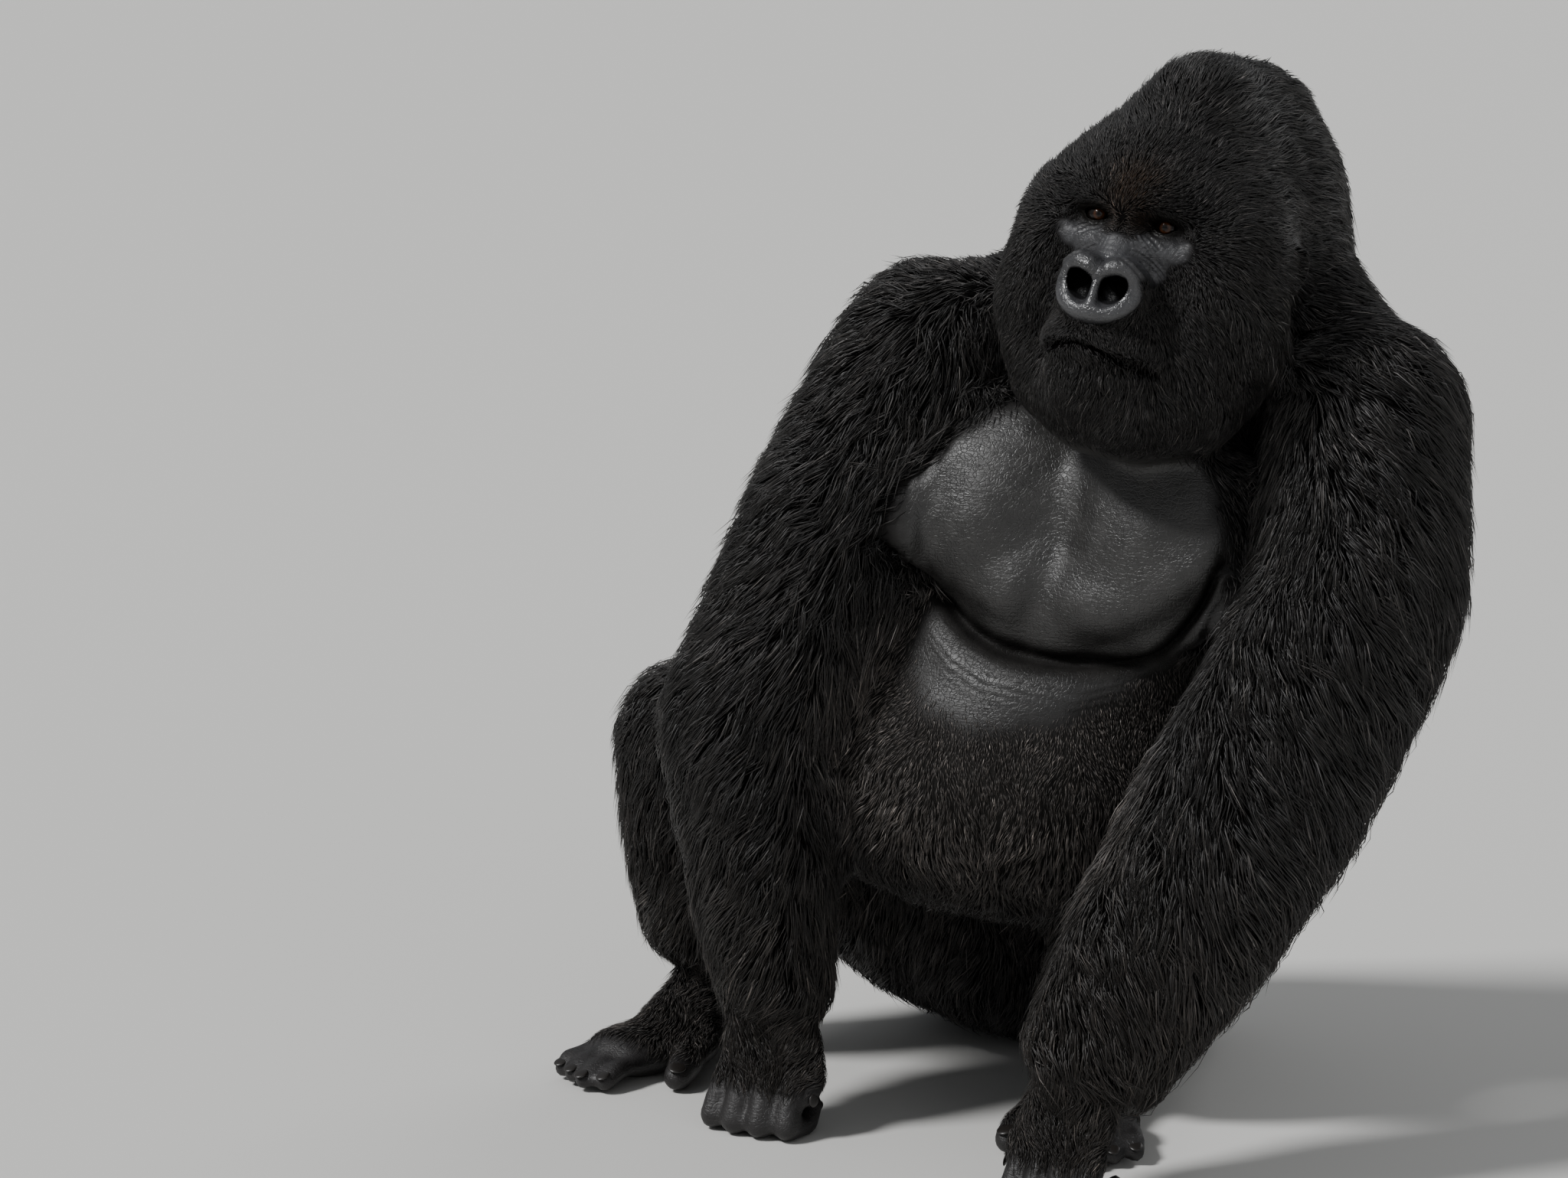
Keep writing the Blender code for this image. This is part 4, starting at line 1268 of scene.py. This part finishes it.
def skin_colours(points, local, fields):
    tints, bare, q = bpy.context.scene.gorilla_colours, fields.bare, mirrored(local)
    chest = step(0.05, 0.6, near(points, CHEST + Vector((-0.03, 0, -0.02)), (0.24, 0.20, 0.24)))
    over, front = over_fold(points)
    # The bare skin under the eyes and on the bridge of the nose is painted a lighter grey: partly
    # its own tone, partly painted sheen.
    bags = near(q, (0.036, -0.004, -0.028), (0.030, 0.04, 0.024))
    bags = np.clip(1.4 * (bags + near(q, (0, -0.02, -0.040), (0.05, 0.04, 0.034))), 0, 1)
    # Painted sheen: the nose pad is lighter than its own dark grey, and lighter still on its lower
    # half as a painted highlight where light from above falls.
    pad = step(0.003, -0.003, outline_far(local)) * step(-0.025, -0.040, local[:, 1])
    pad *= 0.45 + 0.55 * step(-0.052, -0.084, local[:, 2])
    # The skin round the eyes is painted near black: its own dark tone and painted shade under the
    # brow.
    rims = near(q, EYE_IN_HEAD + Vector((0, -0.012, 0.001)), (0.028, 0.030, 0.0150))
    return painted(len(points), "#0f0e0e", (
        (0.9 * fields.belly, "#242322"),
        (bare, tints.hide),
        (chest * bare, tints.chest),
        # Painted shade: near black along the fold under the chest muscles, and a darker band below
        # the fold under their overhang.
        (0.8 * front * bare * hill(over, 0, 0.0065), "#060505"),
        (0.45 * front * bare * step(0.0, -0.02, over), "#171616"),
        # Lighter grey under the eyes: partly own tone, partly painted sheen.
        (bags * bare, "#343436"),
        # Painted sheen and highlight on the nose pad.
        (pad, tints.nose),
        # Painted shade: the insides of the nostrils near black.
        (in_nostril_shade(q), "#030303"),
        # Painted shade under the brow, over the dark skin round the eyes.
        (np.clip(1.5 * rims, 0, 1), "#0d0b09"),
        # Painted shade in the parting of the lips and under the upper lip.
        (hill(mouth_far(local), 0, 0.0034), "#060505"),
    ))


def in_nostril_shade(q):
    """1 on the walls of the nostrils, from |x| in the head's frame: where they are painted black as
    shade, somewhat less on the lower wall.
    """
    deep = step(0.0050, 0.0028, egg(q, *NOSTRIL_WALL))
    # Less painted shade low down, where light would reach the lower wall.
    deep *= 1 - 0.2 * step(-0.0800, -0.0850, q[:, 2])
    return deep * step(-0.0610, -0.0575, q[:, 1]) * step(0.0, -0.030, q[:, 1])


def unwrap(obj):
    bpy.ops.object.select_all(action="DESELECT")
    obj.select_set(True)
    bpy.context.view_layer.objects.active = obj
    obj.data.uv_layers.new(name="OFBake")
    bpy.ops.object.mode_set(mode="EDIT")
    bpy.ops.mesh.select_all(action="SELECT")
    bpy.ops.uv.smart_project(angle_limit=math.radians(66), island_margin=0.002)
    bpy.ops.object.mode_set(mode="OBJECT")


def uv_at(mesh, roots):
    """Where each root stands on the skin's unwrap."""
    corners = triangles_of(mesh, "loops")[roots.triangle]
    uvs = read(mesh.uv_layers["OFBake"].data, "uv", 2)[corners]
    return np.clip((uvs * roots.share[:, :, None]).sum(axis=1), 0.002, 0.998)


def coat_pieces(roots, labels):
    """Names of the pieces of the coat, and which tufts stand in each."""
    local = in_frame(roots.place, HEAD)
    kinds = np.array([kind_of(name) for name in labels.names])[roots.kind]
    sides = np.array([name[-1] for name in labels.names])[roots.kind]
    head, trunk = kinds == "head", kinds == "trunk"
    left, high = local[:, 0] > 0, local[:, 2] > 0.035
    beard = ~high & (local[:, 2] < -0.125) & (local[:, 1] < 0.09)
    pieces = {"beard": head & beard}
    for side, here in (("l", left), ("r", ~left)):
        pieces[f"crown_{side}"] = head & high & here
        pieces[f"cheek_{side}"] = head & ~high & ~beard & here
        for name, covered in LIMBS.items():
            pieces[f"{name}_{side}"] = np.isin(kinds, covered) & (sides == side)
    pieces["neck"] = np.isin(kinds, ("neck", "ear"))
    behind = roots.normal[:, 1] > 0.05
    pieces["belly"] = trunk & ~behind
    pieces["back_l"] = trunk & behind & (roots.place[:, 0] > SADDLE.x)
    pieces["back_r"] = trunk & behind & (roots.place[:, 0] <= SADDLE.x)
    return pieces


def grow_coat(settings):
    """The coat, piece by piece, in short tufts and long ones."""
    mesh, labels = made["skin"].data, made["labels"]
    rng = np.random.default_rng(settings.seed)
    tree = BVHTree.FromPolygons([v.co for v in mesh.vertices], [p.vertices for p in mesh.polygons])
    count, width = settings.tufts, settings.width
    roots = Roots(made["skin"], made["fields"], count, rng)
    material = coat_material()
    for name, chosen in coat_pieces(roots, labels).items():
        group = roots.pick(chosen)
        long = group.length >= LONG_HAIR
        for ending, stations, here in (("short", SHORT_TUFT, ~long), ("long", LONG_TUFT, long)):
            if here.sum() < FEWEST_TUFTS:
                continue
            standing = group.pick(here)
            piece = coat_piece(f"coat_{name}_{ending}", standing, stations, tree, width, rng)
            piece.data.materials.append(material)
            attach(piece, "root")


def coat_piece(name, roots, stations, tree, width, rng):
    line, ups = grow(roots, stations, tree, rng)
    count, rows = line.shape[:2]
    triangles = 6 * count * (rows - 2)
    if triangles > MOST_TRIANGLES:
        raise RuntimeError(f"{name} has {triangles} triangles")
    sizes = np.clip(roots.length / FULL_WIDTH_LENGTH, 0.45, 1.15)
    points = tuft_points(stations, line, ups, width * sizes * rng.uniform(0.75, 1.25, count))
    colours = tuft_colours(roots, stations, rng)
    return tuft_object(name, points, rows, colours, uv_at(made["skin"].data, roots))


def tuft_colours(roots, stations, rng):
    """Dark at the root, paler and warmer at some of the tips: partly the hair's own grey tips,
    partly painted sheen.
    """
    count = len(roots.place)
    base = markings(roots.place)
    pale = rng.normal(0.15, 0.50, count) + 1.15 * (rng.random(count) < PALE_AND_SHEEN_TIPS)
    warm = rng.uniform(0, 1, count)[:, None]
    tip = base * np.exp(pale)[:, None] * (1 + warm * np.array((0.15, 0.08, 0.0)))
    rows = [base * 0.45 + share**1.2 * (tip - base * 0.45) for share, _, _ in stations]
    return np.stack(rows, axis=1)


# Eyes and nails ----------------------------------------------------------------------------------

IRIS_RADIUS, PUPIL_RADIUS = 0.0070, 0.0021
EYE_MARGIN, CORNEA_RISE = 0.0002, 0.0010
EYE_SEGMENTS = 64

# How far each eye is turned to the animal's left and up, in degrees.
GAZE = {"l": (9, -4), "r": (16, 1)}


def gaze_of(side):
    yaw, pitch = (math.radians(angle) for angle in GAZE[side])
    across, ahead = math.sin(yaw) * math.cos(pitch), math.cos(yaw) * math.cos(pitch)
    return HEAD.to_3x3() @ Vector((across, -ahead, math.sin(pitch)))


def eyeball(name):
    """A ball about the origin with a raised cornea at +Z, its rings crowded round the iris."""
    bm = bmesh.new()
    bmesh.ops.create_uvsphere(bm, u_segments=EYE_SEGMENTS, v_segments=EYE_SEGMENTS, radius=1)
    edge = 1.08 * math.asin(IRIS_RADIUS / EYE_RADIUS)
    for vertex in bm.verts:
        tilt = math.acos(max(-1, min(1, vertex.co.z)))
        tilt = math.pi * (tilt / math.pi) ** 1.5
        turn = math.atan2(vertex.co.y, vertex.co.x)
        rise = max(0.0, 1 - (tilt / edge) ** 2) ** 1.5
        wide = math.sin(tilt)
        vertex.co = Vector((wide * math.cos(turn), wide * math.sin(turn), math.cos(tilt)))
        vertex.co *= EYE_RADIUS - EYE_MARGIN + CORNEA_RISE * rise
    return object_from(bm, name)


def add_eyes():
    """Both eyes, each turned to its own gaze."""
    for side in SIDES:
        node = f"eye_{side}"
        eye = eyeball(f"{node}_ball")
        give_values(eye.data, "eye_place", "FLOAT_VECTOR", points_of(eye.data))
        ahead = gaze_of(side).to_track_quat("Z", "Y").to_matrix().to_4x4()
        eye.data.transform(Matrix.Translation(middle_of(node)) @ ahead)
        smooth_faces(eye.data)
        eye.data.materials.append(eye_material())
        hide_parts(node)
        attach(eye, "root")


def nail(bm, base, tip, way, up, size):
    """A flattened, rounded plate on the upper side of a tip."""
    way = way.normalized()
    across = way.cross(up).normalized()
    spot = Matrix((across, way, across.cross(way))).transposed().to_4x4()
    spot = base @ Matrix.Translation(tip) @ spot
    ball(bm, (0, 0.10 * size, 0.80 * size), (0.62 * size, 0.72 * size, 0.16 * size), base=spot)


def add_nails():
    """Nails on the toes and on the folded fingers and thumbs."""
    bm = bmesh.new()
    for side, sign in SIDES.items():
        foot, hand = foot_frame(side), hand_frame(side)
        for number in range(TOES):
            tip = toe(number, sign)[-1][0]
            nail(bm, foot, tip, Vector((0, -1, -0.35)), Vector((0, -0.35, 1)), 0.0115)
        way, up = Vector((-0.10 * sign, -0.30, -0.07)), Vector((-0.2 * sign, -0.16, 1))
        nail(bm, foot, big_toe(sign)[-1][0], way, up, 0.0155)
        for number in range(FINGERS):
            tip = finger(number)[-1][0]
            nail(bm, hand, tip, Vector((0, 0.76, 0.65)), Vector((0, 0.65, -0.76)), 0.0112)
        way, up = Vector((0, -0.5, -0.87)), Vector((-sign, -0.3, 0.17))
        nail(bm, hand, thumb(sign)[-1][0], way, up, 0.0098)
    nails = object_from(bm, "nails")
    smooth_faces(nails.data)
    nails.data.materials.append(nail_material())
    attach(nails, "root")


# Materials ---------------------------------------------------------------------------------------

# Cells of a pattern in one metre: hide clouds 26 mm, its grain 1.3 mm, its creases 5 mm and their
# wander 17 mm, hair clouds 45 mm.
HIDE_CLOUDS, GRAIN, CREASES, WANDER, HAIR_CLOUDS = 38.0, 760.0, 190.0, 60.0, 22.0

# Furrows 14 mm long and 2.5 mm apart, across the body.
FURROWS = (70.0, 70.0, 400.0)

# The eye's colours are placed along its radius as shares of this reach.
EYE_REACH = 0.010


def add(tree, kind, settings=(), **inputs):
    """Adds a node: its settings, then its inputs by name, each a value or another node's output."""
    node = tree.nodes.new("ShaderNode" + kind)
    for key, value in dict(settings).items():
        setattr(node, key, value)
    for key, value in inputs.items():
        place = int(key[1:]) if key[1:].isdigit() else key.replace("_", " ")
        if isinstance(value, bpy.types.NodeSocket):
            tree.links.new(value, node.inputs[place])
        else:
            node.inputs[place].default_value = value
    return node


def attribute(tree, name, output="Fac"):
    return add(tree, "Attribute", {"attribute_name": name}).outputs[output]


def maths(tree, operation, first, second):
    return add(tree, "Math", {"operation": operation}, i0=first, i1=second).outputs["Value"]


def stretched(tree, noise, low, high):
    """A noise's middle range, stretched to this one."""
    return add(tree, "MapRange", Value=noise, From_Min=0.3, From_Max=0.7,
               To_Min=low, To_Max=high).outputs["Result"]


def scaled(tree, colour, size):
    vectors = add(tree, "VectorMath", {"operation": "SCALE"}, i0=colour, Scale=size)
    return vectors.outputs["Vector"]


def principled(name, **settings):
    """A material's node tree and its shader, with these values on the shader's own sockets."""
    material = bpy.data.materials.get(name) or bpy.data.materials.new(name)
    material.use_nodes = True
    shader = material.node_tree.nodes["Principled BSDF"]
    for key, value in settings.items():
        shader.inputs[key.replace("_", " ")].default_value = value
    return material, material.node_tree, shader


def skin_material():
    """Bare hide: dark, finely grained and creased, with a broad dull shine, wetter on the nose."""
    material, tree, shader = principled("bare hide", IOR=1.42)
    place = add(tree, "TexCoord").outputs["Object"]
    colour = attribute(tree, "hair_colour", "Color")
    bare, glossy, matt = (attribute(tree, name) for name in ("bare", "glossy", "matt"))

    # Clouds vary the colour and the shine.
    cloud = add(tree, "TexNoise", Vector=place, Scale=HIDE_CLOUDS, Detail=5.0, Roughness=0.6)
    cloud = cloud.outputs["Fac"]
    tinted = scaled(tree, colour, stretched(tree, cloud, 0.72, 1.35))
    tree.links.new(tinted, shader.inputs["Base Color"])

    # Wet places shine fully, and haired, folded and nostril skin not at all.
    dry = add(tree, "MapRange", Value=matt, To_Min=0.62, To_Max=0.06).outputs["Result"]
    shine = add(tree, "MapRange", {"clamp": False}, Value=glossy, To_Min=dry, To_Max=1.0)
    keen = maths(tree, "SUBTRACT", 1.0, matt)
    shine = maths(tree, "MULTIPLY", shine.outputs["Result"], keen)
    tree.links.new(shine, shader.inputs["Specular IOR Level"])
    rough = add(tree, "MapRange", Value=glossy, To_Min=0.50, To_Max=0.30).outputs["Result"]
    rough = maths(tree, "ADD", rough, stretched(tree, cloud, -0.06, 0.10))
    tree.links.new(rough, shader.inputs["Roughness"])

    # Grain everywhere, with creases and furrows where the hide is bare.
    cells = {"feature": "DISTANCE_TO_EDGE"}
    grain = add(tree, "TexVoronoi", cells, Vector=place, Scale=GRAIN).outputs["Distance"]
    bent = add(tree, "TexNoise", Vector=place, Scale=WANDER, Detail=2.0).outputs["Color"]
    # A mix node takes vectors at inputs 4 and 5 and gives them at output 1.
    warped = add(tree, "Mix", {"data_type": "VECTOR"}, i0=0.02, i4=place, i5=bent).outputs[1]
    crease = add(tree, "TexVoronoi", cells, Vector=warped, Scale=CREASES).outputs["Distance"]
    crease = add(tree, "MapRange", Value=crease, From_Max=0.12).outputs["Result"]
    drawn = add(tree, "VectorMath", {"operation": "MULTIPLY"}, i0=place, i1=FURROWS)
    furrow = add(tree, "TexNoise", Vector=drawn.outputs["Vector"], Scale=1.0, Detail=3.0,
                 Roughness=0.6).outputs["Fac"]
    force = maths(tree, "MULTIPLY", bare, 0.42)
    bump = add(tree, "Bump", Strength=0.35, Distance=0.0004, Height=grain)
    for height, deep in ((crease, 0.0006), (furrow, 0.0016)):
        bump = add(tree, "Bump", Strength=force, Distance=deep, Height=height,
                   Normal=bump.outputs["Normal"])
    tree.links.new(bump.outputs["Normal"], shader.inputs["Normal"])
    return material


def coat_material():
    """Hair: matt black fibre whose smooth sides catch a thin dull light."""
    material, tree, shader = principled("coarse body hair", Roughness=0.48, IOR=1.55,
                                        Specular_IOR_Level=0.32)
    colour = attribute(tree, "hair_colour", "Color")
    place = add(tree, "TexCoord").outputs["Object"]
    cloud = add(tree, "TexNoise", Vector=place, Scale=HAIR_CLOUDS, Detail=3.0).outputs["Fac"]
    tinted = scaled(tree, colour, stretched(tree, cloud, 0.75, 1.3))
    tree.links.new(tinted, shader.inputs["Base Color"])
    return material


def eye_material():
    """Wet eye: black pupil, amber iris with radial fibres and a dark rim, dark brown white."""
    material, tree, shader = principled("wet eye", Roughness=0.45, Specular_IOR_Level=0.1,
                                        Coat_Weight=0.45, Coat_Roughness=0.02)
    place = attribute(tree, "eye_place", "Vector")
    parts = add(tree, "SeparateXYZ", Vector=place).outputs
    flat = add(tree, "CombineXYZ", X=parts["X"], Y=parts["Y"]).outputs["Vector"]
    far = add(tree, "VectorMath", {"operation": "LENGTH"}, i0=flat).outputs["Value"]
    turn = maths(tree, "ARCTAN2", parts["Y"], parts["X"])
    around = add(tree, "CombineXYZ", X=turn, Y=far).outputs["Vector"]
    around = add(tree, "VectorMath", {"operation": "MULTIPLY"}, i0=around, i1=(9.0, 260.0, 1.0))
    fibre = add(tree, "TexNoise", Vector=around.outputs["Vector"], Scale=1.4, Detail=3.0)
    fibre = fibre.outputs["Fac"]
    share = maths(tree, "DIVIDE", far, EYE_REACH)
    share = maths(tree, "ADD", share, stretched(tree, fibre, -0.03, 0.03))
    edge, pupil = IRIS_RADIUS / EYE_REACH, PUPIL_RADIUS / EYE_REACH
    bands = add(tree, "ValToRGB", Fac=share)
    stops = (
        (0.0, linear("#050302")),
        (pupil, linear("#050302")),
        (pupil + 0.05, linear("#180b05")),
        (0.45, (*bpy.context.scene.gorilla_colours.iris, 1)),
        (edge - 0.08, linear("#180b05")),
        (edge, linear("#060302")),
        (edge + 0.10, linear("#0b0806")),
        (1.0, linear("#0e0a08")),
    )
    for _ in stops[2:]:
        bands.color_ramp.elements.new(0.5)
    for element, (position, colour) in zip(bands.color_ramp.elements, stops):
        element.position, element.color = position, colour
    tinted = scaled(tree, bands.outputs["Color"], stretched(tree, fibre, 0.6, 1.5))
    tree.links.new(tinted, shader.inputs["Base Color"])
    return material


def nail_material():
    """Horn: nearly black, with the smooth dull shine of a worn nail."""
    colour = (*bpy.context.scene.gorilla_colours.nails, 1)
    return principled("nail horn", Base_Color=colour, Roughness=0.38, Specular_IOR_Level=0.5)[0]


# Stage -------------------------------------------------------------------------------------------

WORLD_COLOUR, WORLD_STRENGTH = "#ced1d4", 0.42
RIM_SHARE = 1.5


def looking(location, target):
    return (Vector(target) - Vector(location)).to_track_quat("-Z", "Y").to_euler()


def add_floor(settings):
    """A plain pale floor: matt painted board."""
    bm = bmesh.new()
    bmesh.ops.create_grid(bm, x_segments=1, y_segments=1, size=settings.floor_size / 2)
    floor = object_from(bm, "floor")
    colour = (*settings.floor_colour, 1)
    floor.data.materials.append(principled("pale floor", Base_Color=colour, Roughness=0.8)[0])


def add_camera(scene):
    back = Vector((
        math.sin(CAMERA_AZIMUTH) * math.cos(CAMERA_ELEVATION),
        -math.cos(CAMERA_AZIMUTH) * math.cos(CAMERA_ELEVATION),
        math.sin(CAMERA_ELEVATION),
    ))
    lens = bpy.data.cameras.new("camera")
    lens.lens = CAMERA_LENS
    camera = bpy.data.objects.new("camera", lens)
    camera.location = CAMERA_AIM + back * CAMERA_DISTANCE
    camera.rotation_euler = looking(camera.location, CAMERA_AIM)
    scene.collection.objects.link(camera)
    scene.camera = camera


def set_stage(scene, settings):
    """A soft grey world, the floor, the camera and three soft lights."""
    scene.world = bpy.data.worlds.new("soft grey")
    scene.world.use_nodes = True
    sky = scene.world.node_tree.nodes["Background"]
    sky.inputs["Color"].default_value = linear(WORLD_COLOUR)
    sky.inputs["Strength"].default_value = WORLD_STRENGTH
    add_floor(settings)
    add_camera(scene)
    for name, way, strength, softness in (
        ("key", (-0.75, -0.85, 1.25), settings.key_strength, 13),
        ("fill", (0.9, -0.8, 0.5), settings.fill_strength, 50),
        ("rim", (0.2, 1.0, 0.8), RIM_SHARE * settings.fill_strength, 30),
    ):
        lamp = bpy.data.lights.new(name, "SUN")
        lamp.energy, lamp.angle = strength, math.radians(softness)
        light = bpy.data.objects.new(name, lamp)
        light.rotation_euler = looking(way, (0, 0, 0))
        scene.collection.objects.link(light)


# Operators ---------------------------------------------------------------------------------------


class GorillaSkin(bpy.types.Operator):
    """One skin over the whole body"""

    bl_idname = "gorilla.skin"
    bl_label = "Skin"

    def execute(self, context):
        build_skin()
        return {"FINISHED"}


class GorillaEyes(bpy.types.Operator):
    """The two eyes"""

    bl_idname = "gorilla.eyes"
    bl_label = "Eyes"

    def execute(self, context):
        add_eyes()
        return {"FINISHED"}


class GorillaNails(bpy.types.Operator):
    """Nails on toes and fingers"""

    bl_idname = "gorilla.nails"
    bl_label = "Nails"

    def execute(self, context):
        add_nails()
        return {"FINISHED"}


class GorillaCoat(bpy.types.Operator):
    """The coat, in tufts"""

    bl_idname = "gorilla.coat"
    bl_label = "Coat"

    def execute(self, context):
        grow_coat(context.scene.gorilla_coat)
        return {"FINISHED"}


class GorillaStage(bpy.types.Operator):
    """Floor, light and camera"""

    bl_idname = "gorilla.stage"
    bl_label = "Stage"

    def execute(self, context):
        set_stage(context.scene, context.scene.gorilla_stage)
        return {"FINISHED"}


class GorillaPanel(bpy.types.Panel):
    """The gorilla's settings and steps"""

    bl_idname = "VIEW3D_PT_gorilla"
    bl_label = "Gorilla"
    bl_space_type = "VIEW_3D"
    bl_region_type = "UI"
    bl_category = "Gorilla"

    def draw(self, context):
        for group in (getattr(context.scene, name) for name in SETTINGS):
            for name in group.bl_rna.properties.keys():
                if name not in ("rna_type", "name"):
                    self.layout.prop(group, name)
        for operator in OPERATORS:
            self.layout.operator(operator.bl_idname)


SETTINGS = {
    "gorilla_coat": GorillaCoatSettings,
    "gorilla_colours": GorillaColourSettings,
    "gorilla_stage": GorillaStageSettings,
}
OPERATORS = (GorillaSkin, GorillaEyes, GorillaNails, GorillaCoat, GorillaStage)
CLASSES = (*SETTINGS.values(), *OPERATORS, GorillaPanel)


def register():
    for each in CLASSES:
        bpy.utils.register_class(each)
    for name, group in SETTINGS.items():
        setattr(bpy.types.Scene, name, PointerProperty(type=group))


def unregister():
    for name in SETTINGS:
        delattr(bpy.types.Scene, name)
    for each in reversed(CLASSES):
        bpy.utils.unregister_class(each)


def main():
    register()
    bpy.ops.gorilla.skin()
    bpy.ops.gorilla.eyes()
    bpy.ops.gorilla.nails()
    bpy.ops.gorilla.coat()
    bpy.ops.gorilla.stage()


if __name__ == "__main__":
    main()
